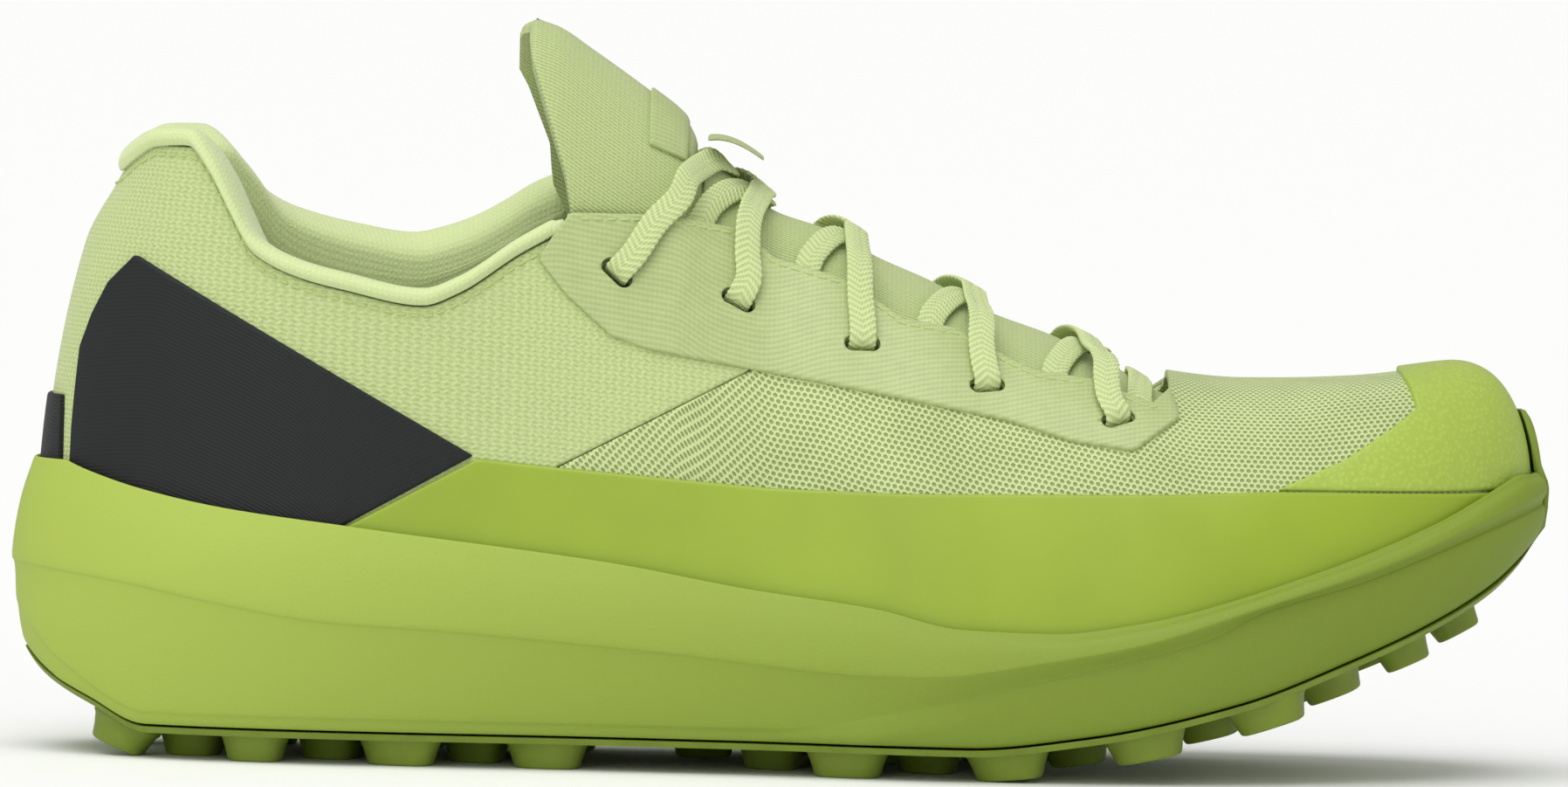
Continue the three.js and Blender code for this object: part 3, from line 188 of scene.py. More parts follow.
sole_margin = curve_through((0, 5.7), (40, 6.4), (140, 6.2), (215, 5.8), (262, 5), (296, 4.1))
rim_inset = curve_through((0, 4.0), (140, 3.2), (245, 2.6), (296, 0.8))
lower_tuck = curve_through((0, 1.6), (40, 3), (110, 5), (150, 5), (262, 3.4), (296, 1.4))

throat_edge = [
    (107, 106.2), (126, 106), (139.6, 103.2), (146, 98), (159.7, 94.2), (171, 87), (181, 85.3),
    (191.8, 79.6), (197, 77.5), (207, 76.2), (219, 71.8), (222.5, 74.5)]
eyelets = [(115.8, 94.8), (139.4, 89.9), (163.3, 82.2), (187.3, 74.8), (212.1, 68.8)]
vamp_seam = [(95, 20), (105.3, 57.9), (142, 77.3), (152.2, 96.3)]
rand_top = [
    (60, 42), (66.2, 46), (90.2, 59.2), (105.3, 57.9), (145.9, 54.9), (171.7, 54.5), (223.4, 55.3),
    (242.1, 56.1), (310, 56.1)]
cap_edge = [(56.1, 242.1), (62.1, 255.8), (67.7, 264.4), (71.8, 269.9), (75.3, 268.8), (79, 266.8)]
eyestay_lower = [
    (100.9, 97.4), (106.4, 90.7), (115.2, 83), (123, 80.4), (141.1, 77.3), (171.3, 72.2),
    (190.8, 68.6), (203.7, 64.8), (215.4, 63.2), (224.5, 69.5)]
tongue_rear = [(107, 106.8), (105.5, 115), (101.5, 128), (98.6, 138), (97.8, 146)]
tongue_drop = [12, 8, 5, 5, 5]


def rib(side, station):
    """Spine point (x, y) and outward direction of the upright half-plane at a station."""
    x = np.asarray(station, float)
    q = np.clip((HEEL_FAN - x) / HEEL_FAN, 0, 1)
    p = np.clip((x - TOE_FAN) / (LENGTH - TOE_FAN), 0, 1)
    centre = np.clip(x, HEEL_FAN, TOE_FAN)
    centre = centre - (HEEL_FAN - HEEL_POLE) * np.sin(math.pi / 2 * q)
    centre = centre + (TOE_POLE - TOE_FAN) * np.sin(math.pi / 2 * p)
    turn = np.radians(90 + 90 * q ** FAN_POWER - 90 * p ** FAN_POWER)
    return centre, TOE_INFLARE * smooth(60, 261, centre), np.cos(turn), side * np.sin(turn)


def lengthwise(side, station, r):
    x, _, dx, _ = rib(side, station)
    return x + r * dx


HEEL_LEAN = 3.4                 # how far the heel's top leans in
LAST_RIB, LAST_ANGLE = 740, 360  # of the form's sampled grid


def rib_row(station):
    return int(round(station / LENGTH * LAST_RIB))


class FootSide:
    """One half of the foot form, sampled on ribs (rows) and angles from the sole to the spine."""

    def __init__(self, side):
        self.side = side
        self.stations = np.linspace(0, LENGTH, LAST_RIB + 1)
        self.angles = np.radians(np.linspace(0, 90, LAST_ANGLE + 1))
        x, self.y, self.dx, self.dy = (v[:, None] for v in rib(side, self.stations))
        self.x = x
        width = (sole_half_width[side](self.stations) - sole_margin(self.stations))[:, None]
        self.width = width[:, 0]
        foot = foot_line(x + width * self.dx)
        power = 2 / squareness(x)
        reach = np.cos(self.angles).clip(0) ** power
        rise = np.sin(self.angles).clip(0) ** power
        swell = toe_swell(x) * 4 * reach ** 2 * (1 - reach ** 2)
        self.r = width * reach
        self.z = foot + (crown_line(x) - foot) * rise + swell
        lean = HEEL_LEAN * smooth(98, 117, self.z) * (1 - smooth(8, 42, self.stations))[:, None]
        self.r = np.maximum(self.r - lean, 0.4 * self.r)
        dr, dz = np.gradient(self.r, axis=1), np.gradient(self.z, axis=1)
        size = np.maximum(np.hypot(dr, dz), 1e-9)
        self.nr, self.nz = dz / size, -dr / size
        self.nr[:, 0], self.nz[:, 0] = 1, 0
        self.nr[:, -1], self.nz[:, -1] = 0, 1
        self.climb = along_rows(self.world(0.0))
        self.fall = self.climb[:, -1:] - self.climb

    def world(self, offset):
        r = np.maximum(self.r + offset * self.nr, 0.25 * self.r)
        return np.stack([
            self.x + r * self.dx, self.y + r * self.dy, self.z + offset * self.nz], axis=-1)

    def at(self, station, angle, offset):
        """Points at fractional stations and angles, moved out by offset."""
        r, z, nr, nz = self.between(station, angle, self.r, self.z, self.nr, self.nz)
        r = np.maximum(r + offset * nr, 0.25 * r)
        x, y, dx, dy = rib(self.side, station)
        return np.stack([x + r * dx, y + r * dy, z + offset * nz], axis=-1)

    def between(self, station, angle, *grids):
        """Values of sampled grids at fractional stations and angles."""
        i = np.clip(np.asarray(station) / LENGTH * LAST_RIB, 0, LAST_RIB - 0.001)
        j = np.clip(np.asarray(angle) / (math.pi / 2) * LAST_ANGLE, 0, LAST_ANGLE - 0.001)
        i0, j0 = i.astype(int), j.astype(int)
        fi, fj = i - i0, j - j0
        low = [lerp(grid[i0, j0], grid[i0 + 1, j0], fi) for grid in grids]
        high = [lerp(grid[i0, j0 + 1], grid[i0 + 1, j0 + 1], fi) for grid in grids]
        return [lerp(a, b, fj) for a, b in zip(low, high)]

    def seen(self, x, z):
        """Station and angle of the point seen at (x, z) from the side."""
        away = (self.x + self.r * self.dx - x) ** 2 + (self.z - z) ** 2
        i, j = np.unravel_index(np.argmin(away), away.shape)
        return float(self.stations[i]), float(self.angles[j])

    def radius_at(self, station, height):
        """Radius of the form at a height on a rib; station and height are arrays."""
        rows = np.clip(np.round(np.asarray(station) / LENGTH * LAST_RIB).astype(int), 0, LAST_RIB)
        return np.array([
            np.interp(h, self.z[i], self.r[i]) for i, h in zip(rows, np.asarray(height))])


FOOT = {side: FootSide(side) for side in SIDES}

# Where the design's origin lies in the frame, from the one piece that is square to both axes.
_tab_low, _tab_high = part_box("tongue_tab")
_tab_root = FOLD_X + TAB_SET_FORWARD
_tab_y = rib(MEDIAL, _tab_root)[1]
SHIFT = np.array([
    _tab_low[0] / MM - _tab_root, (_tab_low[1] + _tab_high[1]) / 2 / MM - _tab_y, 0.0])

# ---------------------------------------------------------------------------------------------
# Meshes
# ---------------------------------------------------------------------------------------------


def new_object(name, data):
    made = bpy.data.objects.new(name, data)
    bpy.context.scene.collection.objects.link(made)
    return made


def mesh_object(name, points, faces, material, uv=None, sharp=SHARP_EDGE):
    """A closed mesh from points in design millimetres. uv holds one pair for each point."""
    mesh = bpy.data.meshes.new(name)
    placed = (np.asarray(points, float) + SHIFT) * MM
    mesh.from_pydata(placed.tolist(), [], [list(map(int, f)) for f in faces])
    if uv is not None:
        layer = mesh.uv_layers.new(name="weave")
        index = np.empty(len(mesh.loops), dtype=np.int32)
        mesh.loops.foreach_get("vertex_index", index)
        pairs = (np.asarray(uv, float) * MM)[index].astype(np.float32)
        layer.data.foreach_set("uv", pairs.ravel())
    work = bmesh.new()
    work.from_mesh(mesh)
    bmesh.ops.remove_doubles(work, verts=work.verts, dist=2e-6)
    bmesh.ops.dissolve_degenerate(work, edges=work.edges, dist=1e-7)
    bmesh.ops.recalc_face_normals(work, faces=work.faces)
    work.to_mesh(mesh)
    work.free()
    mesh.shade_smooth()
    mesh.set_sharp_from_angle(angle=math.radians(sharp))
    piece = new_object(name, mesh)
    mesh.materials.append(material)
    return piece


def settle(piece, body, slot, *nodes):
    """Attaches a finished piece to its body and hides the nodes that it stands for. The slot is
    not used.
    """
    if nodes:
        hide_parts(*nodes)
    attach(piece, body)
    return piece


def grid_faces(rows, columns, start=0):
    i, j = np.meshgrid(np.arange(rows - 1), np.arange(columns - 1), indexing="ij")
    a = (i * columns + j).ravel() + start
    return np.stack([a, a + 1, a + columns + 1, a + columns], axis=1)


def tube_faces(rings, size, start=0, capped=True):
    """Faces of a closed tube whose rings of points follow each other."""
    faces = []
    for i in range(rings - 1):
        for j in range(size):
            a, b = start + i * size, (j + 1) % size
            faces.append((a + j, a + b, a + size + b, a + size + j))
    if capped:
        faces.append(tuple(range(start, start + size)))
        faces.append(tuple(range(start + (rings - 1) * size, start + rings * size)))
    return faces


def profile(points):
    """Sections (rib, point, [r, z]) from one pair of arrays for each point."""
    return np.stack([np.stack(np.broadcast_arrays(*p), axis=-1) for p in points], axis=1)


def final_mesh(piece):
    """A plain mesh of the piece with its modifiers carried out."""
    ready = piece.evaluated_get(bpy.context.evaluated_depsgraph_get())
    return bpy.data.meshes.new_from_object(ready)


def slab(outer, inner, shared):
    """Points and faces of the sheet between two grids. Where the rim is shared with the other
    half, as the boolean grid says, it stays open so that the two halves join."""
    rows, columns = outer.shape[:2]
    count = rows * columns
    points = np.concatenate([outer.reshape(-1, 3), inner.reshape(-1, 3)])
    front = grid_faces(rows, columns)
    back = grid_faces(rows, columns, count)[:, ::-1]
    ring = np.concatenate([
        np.arange(columns), np.arange(1, rows) * columns + columns - 1,
        (rows - 1) * columns + np.arange(columns - 2, -1, -1),
        np.arange(rows - 2, -1, -1) * columns])
    ahead, behind = ring[1:], ring[:-1]
    rim = np.stack([behind, behind + count, ahead + count, ahead], axis=1)
    common = shared.ravel()
    rim = rim[~(common[behind] & common[ahead])]
    return points, np.concatenate([front, back, rim])


def span(side, inside):
    """Lowest and highest angle on each rib where inside(side, x, z) is above 0, as arrays."""
    form = FOOT[side]
    value = inside(side, form.x + form.r * form.dx, form.z + 0 * form.x)
    first = np.full(len(form.stations), np.nan)
    last = first.copy()
    for i, row in enumerate(value):
        good = np.flatnonzero(row > 0)
        if len(good) == 0:
            continue
        j, k = good[0], good[-1]
        first[i] = form.angles[j]
        if j > 0:
            first[i] -= (form.angles[j] - form.angles[j - 1]) * row[j] / (row[j] - row[j - 1])
        last[i] = form.angles[k]
        if k < len(row) - 1:
            last[i] += (form.angles[k + 1] - form.angles[k]) * row[k] / (row[k] - row[k + 1])
    return first, last


EDGE_SHARES = [0.004, 0.01, 0.02, 0.035]


def panel(
        side, inside, inner, outer, rows=60, step=2, edge=0.6, drop=0.4, seamless=False,
        from_sole=False):
    """Outer grid, inner grid, texture places and shared rim of a panel that follows the form where
    inside(side, x, z) is above 0. Its open edges round over: within edge millimetres of them it
    thins by drop on the outside. The weave runs from the sole, or else from the spine."""
    form = FOOT[side]
    first, last = span(side, inside)
    found = np.flatnonzero(np.isfinite(first) & (last - first > 1e-4))
    picked = np.unique(np.concatenate([found[::step], found[:2], found[-2:]]))
    near = np.array(EDGE_SHARES)
    share = np.sort(np.concatenate([np.linspace(0, 1, rows), near, 1 - near]))
    angle = lerp(first[picked, None], last[picked, None], share)
    station = form.stations[picked, None] + 0 * angle
    skin = form.at(station, angle, outer)
    reach = np.linalg.norm(np.diff(skin, axis=1), axis=2)
    up = np.concatenate([np.zeros((len(picked), 1)), np.cumsum(reach, axis=1)], axis=1)
    down = up[:, -1:] - up
    low_closed, high_closed = first[picked] <= 1e-6, last[picked] >= math.pi / 2 - 1e-6
    away = np.minimum(
        np.where(low_closed[:, None], 99, up), np.where(high_closed[:, None], 99, down))
    if picked[0] > 0:
        away = np.minimum(away, station - station[0, 0])
    if picked[-1] < LAST_RIB:
        away = np.minimum(away, station[-1, 0] - station)
    ease = np.sqrt(1 - (1 - np.clip(away / edge, 0, 1)) ** 2)
    top = outer - drop * (1 - ease)
    shared = (angle >= math.pi / 2 - 1e-6) | (station <= 0) | (station >= LENGTH)
    shared &= seamless
    u = np.where(station > TOE_FAN, skin[..., 0], station)
    climb, fall = form.between(station, angle, form.climb, form.fall)
    uv = np.stack([u, side * (climb if from_sole else fall)], axis=-1)
    return form.at(station, angle, top), form.at(station, angle, inner), uv, shared


def panel_piece(name, sides, inside, inner, outer, material, **shape):
    """A closed piece from the panels of one side, or of both sides joined over the spine."""
    points, faces, places = [], [], []
    count = 0
    for side in sides:
        top, bottom, uv, shared = panel(
            side, inside, inner, outer, seamless=len(sides) > 1, **shape)
        p, f = slab(top, bottom, shared)
        points.append(p)
        faces.extend((f + count).tolist())
        places.append(np.concatenate([uv.reshape(-1, 2)] * 2))
        count += len(p)
    return mesh_object(name, np.concatenate(points), faces, material, np.concatenate(places))


def sweep(name, section, stations, material, **settings):
    """A closed body from sections (stations, points, [r, z]) whose ends lie on the spine."""
    points, faces, places = [], [], []
    count = 0
    for side in SIDES:
        rows = section(side, stations)
        x, y, dx, dy = (v[:, None] for v in rib(side, stations))
        dy = np.where((stations[:, None] <= 0) | (stations[:, None] >= LENGTH), 0, dy)
        r, z = rows[..., 0], rows[..., 1]
        grid = np.stack([x + r * dx, y + r * dy, z], axis=-1)
        around = along_rows(grid)
        across = np.stack([stations[:, None] + 0 * around, side * around], axis=-1)
        places.append(across.reshape(-1, 2))
        points.append(grid.reshape(-1, 3))
        faces.extend(grid_faces(*grid.shape[:2], count).tolist())
        count += grid.shape[0] * grid.shape[1]
    return mesh_object(
        name, np.concatenate(points), faces, material, np.concatenate(places), **settings)


def rounded(rows, times=2, closed=False):
    """Cuts the corners of each section, a quarter from each end of every stretch."""
    for _ in range(times):
        ahead = np.roll(rows, -1, axis=1) if closed else rows[:, 1:]
        here = rows if closed else rows[:, :-1]
        near, far = lerp(here, ahead, 0.25), lerp(here, ahead, 0.75)
        mixed = np.stack([near, far], axis=2).reshape(len(rows), -1, rows.shape[-1])
        rows = mixed if closed else np.concatenate(
            [rows[:, :1], mixed[:, 1:-1], rows[:, -1:]], axis=1)
    return rows


def ribs(step):
    return np.linspace(0.0, LENGTH, int(round(LENGTH / step)) + 1)


def merged(name, pieces):
    """Joins finished meshes of one material into the first of them."""
    work = bmesh.new()
    for piece in pieces:
        work.from_mesh(piece.data)
    kept = pieces[0]
    work.to_mesh(kept.data)
    work.free()
    for piece in pieces[1:]:
        bpy.data.objects.remove(piece)
    kept.data.shade_smooth()
    kept.data.set_sharp_from_angle(angle=math.radians(SHARP_EDGE))
    kept.name = name
    return kept


# ---------------------------------------------------------------------------------------------
# Finishes
# ---------------------------------------------------------------------------------------------


def paint(red, green, blue):
    """Scene colour of a display colour given in 0 to 255."""
    return tuple(
        (v / 255 / 12.92) if v <= 10.3 else ((v / 255 + 0.055) / 1.055) ** 2.4
        for v in (red, green, blue))


class Number:
    """A node's output that Python's operators turn into Math nodes."""

    def __init__(self, finish, socket):
        self.finish, self.socket = finish, socket

    def math(self, operation, *others, first=None):
        values = [self if first is None else first, *(others if first is None else (self,))]
        node = self.finish.add("ShaderNodeMath", {"operation": operation})
        for i, value in enumerate(values):
            self.finish.feed(node.inputs[i], value)
        return Number(self.finish, node.outputs[0])

    def __add__(self, other):
        return self.math("ADD", other)

    def __sub__(self, other):
        return self.math("SUBTRACT", other)

    def __rsub__(self, other):
        return self.math("SUBTRACT", first=other)

    def __mul__(self, other):
        return self.math("MULTIPLY", other)

    def __truediv__(self, other):
        return self.math("DIVIDE", other)

    __radd__, __rmul__ = __add__, __mul__

    def fract(self):
        return self.math("FRACT")

    def floor(self):
        return self.math("FLOOR")

    def sine(self):
        """A wave of period 1, from 0 to 1."""
        return (self * (2 * math.pi)).math("SINE") * 0.5 + 0.5

    def absolute(self):
        return self.math("ABSOLUTE")

    def power(self, exponent):
        return self.math("POWER", exponent)

    def between(self, low, high):
        """0 below low, 1 above high and straight between them."""
        node = self.finish.add("ShaderNodeMapRange", {"clamp": True})
        for i, value in enumerate((self, low, high, 0.0, 1.0)):
            self.finish.feed(node.inputs[i], value)
        return Number(self.finish, node.outputs[0])


class Finish:
    """A material under construction."""

    def __init__(self, name, roughness=0.6, sheen=0.0, coat=0.0, coat_roughness=0.2):
        self.material = bpy.data.materials.new(name)
        self.material.use_nodes = True
        self.tree = self.material.node_tree
        self.shader = self.tree.nodes["Principled BSDF"]
        self.shader.inputs["Roughness"].default_value = roughness
        self.shader.inputs["Sheen Weight"].default_value = sheen
        self.shader.inputs["Sheen Roughness"].default_value = 0.4
        self.shader.inputs["Coat Weight"].default_value = coat
        self.shader.inputs["Coat Roughness"].default_value = coat_roughness
        self.shader.inputs["Specular IOR Level"].default_value = 0.4

    def add(self, kind, settings=None, inputs=None):
        node = self.tree.nodes.new(kind)
        for name, value in (settings or {}).items():
            setattr(node, name, value)
        for name, value in (inputs or {}).items():
            self.feed(node.inputs[name], value)
        return node

    def feed(self, socket, value):
        if isinstance(value, Number):
            self.tree.links.new(value.socket, socket)
        elif isinstance(value, bpy.types.NodeSocket):
            self.tree.links.new(value, socket)
        elif isinstance(value, tuple) and socket.type == "RGBA":
            socket.default_value = (*value, 1.0)
        else:
            socket.default_value = value

    def thread_place(self):
        """Millimetres along and across a cloth piece, from its own texture map."""
        place = self.add("ShaderNodeUVMap", {"uv_map": "weave"})
        parts = self.add("ShaderNodeSeparateXYZ", None, {0: place.outputs[0]})
        return [Number(self, parts.outputs[i]) * 1000 for i in (0, 1)]

    def body_place(self):
        """Millimetres along, across and up in the frame."""
        place = self.add("ShaderNodeTexCoord").outputs["Object"]
        parts = self.add("ShaderNodeSeparateXYZ", None, {0: place})
        return [Number(self, parts.outputs[i]) * 1000 for i in range(3)]

    def noise(self, size, detail=3.0, roughness=0.5):
        """Noise whose lumps are about size millimetres wide."""
        place = self.add("ShaderNodeTexCoord").outputs["Object"]
        node = self.add("ShaderNodeTexNoise", None, {
            "Vector": place, "Scale": 1000 / size, "Detail": detail, "Roughness": roughness})
        return Number(self, node.outputs[0])

    def cells(self, size):
        """Distance from the middle of cells that are about size millimetres wide."""
        place = self.add("ShaderNodeTexCoord").outputs["Object"]
        node = self.add("ShaderNodeTexVoronoi", None, {"Vector": place, "Scale": 1000 / size})
        return Number(self, node.outputs["Distance"])

    def blend(self, share, low, high):
        node = self.add("ShaderNodeMix", {"data_type": "RGBA"})
        self.feed(node.inputs["Factor"], share)
        self.feed(node.inputs[6], low)
        self.feed(node.inputs[7], high)
        return node.outputs[2]

    def tones(self, share, base, low, high):
        """Colours from base times low to base times high."""
        self.colour(self.blend(share, shade(base, low), shade(base, high)))

    def grain(self, size, detail, low, high, depth, strength):
        """One noise for both the colour and the bump."""
        noise = self.noise(size, detail)
        self.colour(self.blend(noise, low, high))
        self.relief(noise, depth, strength)
        return self.material

    def colour(self, value):
        self.feed(self.shader.inputs["Base Color"], value)

    def relief(self, height, depth, strength=1.0):
        """Bump of that depth, in millimetres."""
        node = self.add("ShaderNodeBump", None, {
            "Height": height, "Distance": depth * MM, "Strength": strength})
        self.feed(self.shader.inputs["Normal"], node.outputs[0])

    def gloss(self, value):
        self.feed(self.shader.inputs["Roughness"], value)


def shade(colour, factor):
    return tuple(channel * factor for channel in colour)


def foam_finish(settings):
    look = Finish("midsole foam", roughness=0.62)
    tone = look.noise(18, 2) * 0.6 + look.noise(0.9, 2) * 0.4
    base = tuple(settings.foam_colour)
    x, _, z = look.body_place()
    # Painted shade: the foam is blended darker towards the front and the bottom of the midsole.
    painted_shade = (x * 0.0052 - z * 0.011 + 1.0 + tone * 0.1).between(0.0, 1.35)
    look.colour(look.blend(painted_shade, base, tuple(settings.foam_painted_shade_colour)))
    look.relief(look.cells(0.8) * 0.5 + look.noise(0.5, 2) * 0.5, 0.09, 0.7)
    return look.material


def rubber_finish(settings):
    look = Finish("outsole rubber", roughness=0.5)
    base = tuple(settings.rubber_colour)
    look.tones(look.noise(9, 3).between(0.3, 0.7), base, 0.88, 1.08)
    look.relief(look.noise(0.45, 3), 0.08, 0.6)
    look.gloss(look.noise(6) * 0.2 + 0.42)
    return look.material


def film_finish(settings):
    look = Finish("rand film", roughness=0.4, coat=0.12, coat_roughness=0.35)
    base = tuple(settings.film_colour)
    look.tones(look.noise(26, 2).between(0.3, 0.7), base, 0.94, 1.04)
    look.relief(look.noise(0.7, 3) * 0.5 + look.noise(7, 1) * 0.5, 0.10, 0.45)
    look.gloss(look.noise(3) * 0.16 + 0.36)
    return look.material


def cap_finish(settings):
    look = Finish("toe cap film", roughness=0.45, coat=0.1, coat_roughness=0.4)
    base = tuple(settings.cap_colour)
    dots = look.cells(1.1).between(0.15, 0.6)
    look.tones(dots, base, 1.03, 0.92)
    look.relief(1 - dots, 0.1, 0.6)
    return look.material


def knit_finish(settings):
    look = Finish("quarter knit", roughness=0.85, sheen=0.25)
    u, v = look.thread_place()
    cell = settings.knit_cell / MM
    wander = look.noise(9, 2) * 0.5
    zigzag = ((v / (cell * 1.3)).fract() - 0.5).absolute() * 0.9
    column = (u / cell + zigzag + wander * 0.4).sine()
    course = (v / (cell * 0.6) + (u / cell).sine() * 0.25).sine()
    height = column.power(1.4) * 0.5 + course * 0.5
    pale, deep = tuple(settings.knit_colour), tuple(settings.knit_shadow)
    fuzz = look.noise(0.35, 3)
    look.colour(look.blend((height * 0.45 + fuzz * 0.8 - 0.12).between(0.1, 0.75), deep, pale))
    look.relief(height * 0.6 + fuzz * 0.5, 0.3, 0.7)
    return look.material


def mesh_finish(settings):
    look = Finish("vamp mesh", roughness=0.85, sheen=0.2)
    u, v = look.thread_place()
    pitch = settings.mesh_pitch / MM
    row = v / (pitch * 0.88)
    stagger = (row.floor() * 0.5).fract()
    across = (u / pitch + stagger).fract() - 0.5
    along = row.fract() - 0.5
    centre = (across * across + along * along * 0.8).power(0.5)
    hole = 1 - centre.between(0.2, 0.36)
    fuzz = look.noise(0.3, 3)
    pale, deep = tuple(settings.mesh_colour), tuple(settings.mesh_shadow)
    worn = look.noise(14, 2).between(0.25, 0.75) * 0.22
    look.colour(look.blend(hole * 0.85 + fuzz * 0.25 + worn - 0.15, pale, deep))
    look.relief(fuzz * 0.25 - hole * 0.9, 0.45, 0.85)
    return look.material


def overlay_finish(settings):
    look = Finish("eyestay film", roughness=0.42, coat=0.15, coat_roughness=0.35)
    u, v = look.thread_place()
    base = tuple(settings.eyestay_colour)
    lines = ((v - u * 0.5) / 1.15).sine()
    dots = (u / 0.9 + (v / 2.3).sine() * 0.2).sine()
    tone = lines * 0.4 + dots * 0.15 + look.noise(3.2, 3) * 0.5
    look.tones(tone.between(0.2, 0.8), base, 0.84, 1.06)
    look.relief(lines * 0.5 + dots * 0.2 + look.noise(0.8, 2) * 0.3, 0.12, 0.55)
    return look.material


def twill_finish(settings):
    look = Finish("black twill", roughness=0.65, sheen=0.04)
    u, v = look.thread_place()
    line = ((u + v) / 0.75).sine()
    cross = ((u - v * 0.6) / 0.6).sine()
    base = tuple(settings.black_colour)
    height = line * 0.7 + cross * 0.3
    look.tones(height * 0.8 + look.noise(5) * 0.3, base, 0.55, 1.7)
    look.relief(height, 0.12, 0.6)
    return look.material


def lining_finish(settings):
    look = Finish("brushed lining", roughness=0.95, sheen=0.4)
    base = tuple(settings.lining_colour)
    u, v = look.thread_place()
    loops = (u / 1.1).sine() * (v / 1.3).sine()
    fuzz = look.noise(0.4, 4, 0.65)
    look.tones(fuzz * 0.7 + loops * 0.3, base, 0.84, 1.08)
    look.relief(fuzz * 0.7 + loops * 0.35, 0.35, 0.7)
    return look.material


def tongue_finish(settings):
    look = Finish("tongue knit", roughness=0.88, sheen=0.25)
    u, v = look.thread_place()
    ribs_height = (v / 0.85 + look.noise(5, 2) * 0.5).sine()
    fuzz = look.noise(0.35, 3)
    pale, deep = tuple(settings.tongue_colour), tuple(settings.tongue_shadow)
    height = ribs_height * 0.45 + (u / 0.9 + ribs_height * 0.3).sine() * 0.12 + fuzz * 0.5
    look.colour(look.blend(height.between(0.1, 0.85), deep, pale))
    look.relief(height, 0.34, 0.75)
    return look.material


def lace_finish(settings):
    look = Finish("flat braid", roughness=0.85, sheen=0.2)
    u, v = look.thread_place()
    slant = v.absolute() * 0.62
    plait = ((u + slant) / 1.35).sine()
    strand = ((u * 0.3 - v * 1.0) / 0.62).sine()
    height = plait * 0.75 + strand * 0.25
    base = tuple(settings.lace_colour)
    look.tones(height * 0.8 + look.noise(0.4, 2) * 0.3, base, 0.68, 1.08)
    look.relief(height, 0.28, 0.8)
    return look.material


def tip_finish(settings):
    look = Finish("lace tip", roughness=0.25, coat=0.5)
    base = tuple(settings.lace_colour)
    look.tones(look.noise(2, 2), base, 0.85, 1.05)
    look.relief(look.noise(1.2, 2), 0.05, 0.5)
    return look.material


def board_finish(_):
    look = Finish("inner board", roughness=0.9)
    return look.grain(0.6, 3, paint(178, 184, 158), paint(214, 219, 196), 0.1, 0.6)


def stiffener_finish(_):
    look = Finish("stiffener sheet", roughness=0.55)
    return look.grain(1.2, 2, paint(190, 192, 182), paint(220, 222, 210), 0.06, 0.5)


def thread_finish(settings):
    look = Finish("sewing thread", roughness=0.7, sheen=0.2)
    base = tuple(settings.thread_colour)
    return look.grain(0.3, 2, shade(base, 0.8), shade(base, 1.08), 0.06, 0.5)


FINISHES = {
    "thread": thread_finish, "foam": foam_finish, "rubber": rubber_finish,
    "rand_film": film_finish, "cap_film": cap_finish, "knit": knit_finish, "mesh": mesh_finish,
    "clear_film": overlay_finish, "label": overlay_finish,
    "black_fabric": twill_finish, "lining": lining_finish, "sock": lining_finish,
    "tongue_knit": tongue_finish, "lace": lace_finish, "aglet": tip_finish, "board": board_finish,
    "stiffener": stiffener_finish,
}
_made = {}


def finish(slot):
    """The material of a slot, made on first use."""
    if slot not in _made:
        _made[slot] = FINISHES[slot](bpy.context.scene.shoe_settings)
    return _made[slot]


# ---------------------------------------------------------------------------------------------
# Sole
# ---------------------------------------------------------------------------------------------

BOARD_TOP = -GAP
SOLE_FLOOR = BOARD_TOP - BOARD - GAP
CORNER_HEIGHT, BAND_HEIGHT = 1.6, 4.0


def sole_wall(side, station):
    """The sole's outer wall on each rib, from its bottom corner to the rim."""
    width = sole_half_width[side](station)
    x = lengthwise(side, station, width)
    tuck = lower_tuck(x)
    step = 1.3 * smooth(140, 165, x)
    corner = width - tuck - 2.4
    base = base_line(lengthwise(side, station, corner))
    ledge = np.maximum(ledge_line(x), base + CORNER_HEIGHT + 2.2)
    crease = np.maximum(crease_line(x), ledge + 1.6)
    rim = np.maximum(rim_line(x), crease + 1.6)
    inset = rim_inset(station)
    crease_in = 0.9 * (1 - smooth(160, 182, x))
    wall = [
        (corner, base), (corner + 1, base + CORNER_HEIGHT),
        (width - tuck + step - 0.5, np.maximum(ledge - BAND_HEIGHT, base + CORNER_HEIGHT + 0.8)),
        (width - tuck + step, ledge), (width - tuck * 0.75, ledge + 0.7),
        (width - crease_in, crease - 0.7), (width, crease),
        (width - inset * 0.35, lerp(crease, rim, 0.55)), (width - inset, rim - 0.8),
        (width - inset - 0.4, rim)]
    return profile(wall)


def wall_radius(side, station, wall, height):
    """Radius of the sole's outside at a height on each rib."""
    rim = wall[:, -1]
    stand_off = RIM_CLEARANCE + BUMPER
    above = FOOT[side].radius_at(station, height) + stand_off
    at_rim = FOOT[side].radius_at(station, rim[:, 1]) + stand_off
    over = np.maximum(above, rim[:, 0] + above - at_rim)
    below = np.array([np.interp(h, w[:, 1], w[:, 0]) for h, w in zip(height, wall)])
    return np.where(height >= rim[:, 1], over, below)


def bumper_share(station):
    return smooth(282, 290.5, station)


def underside(side, station, r):
    return base_line(lengthwise(side, station, r))


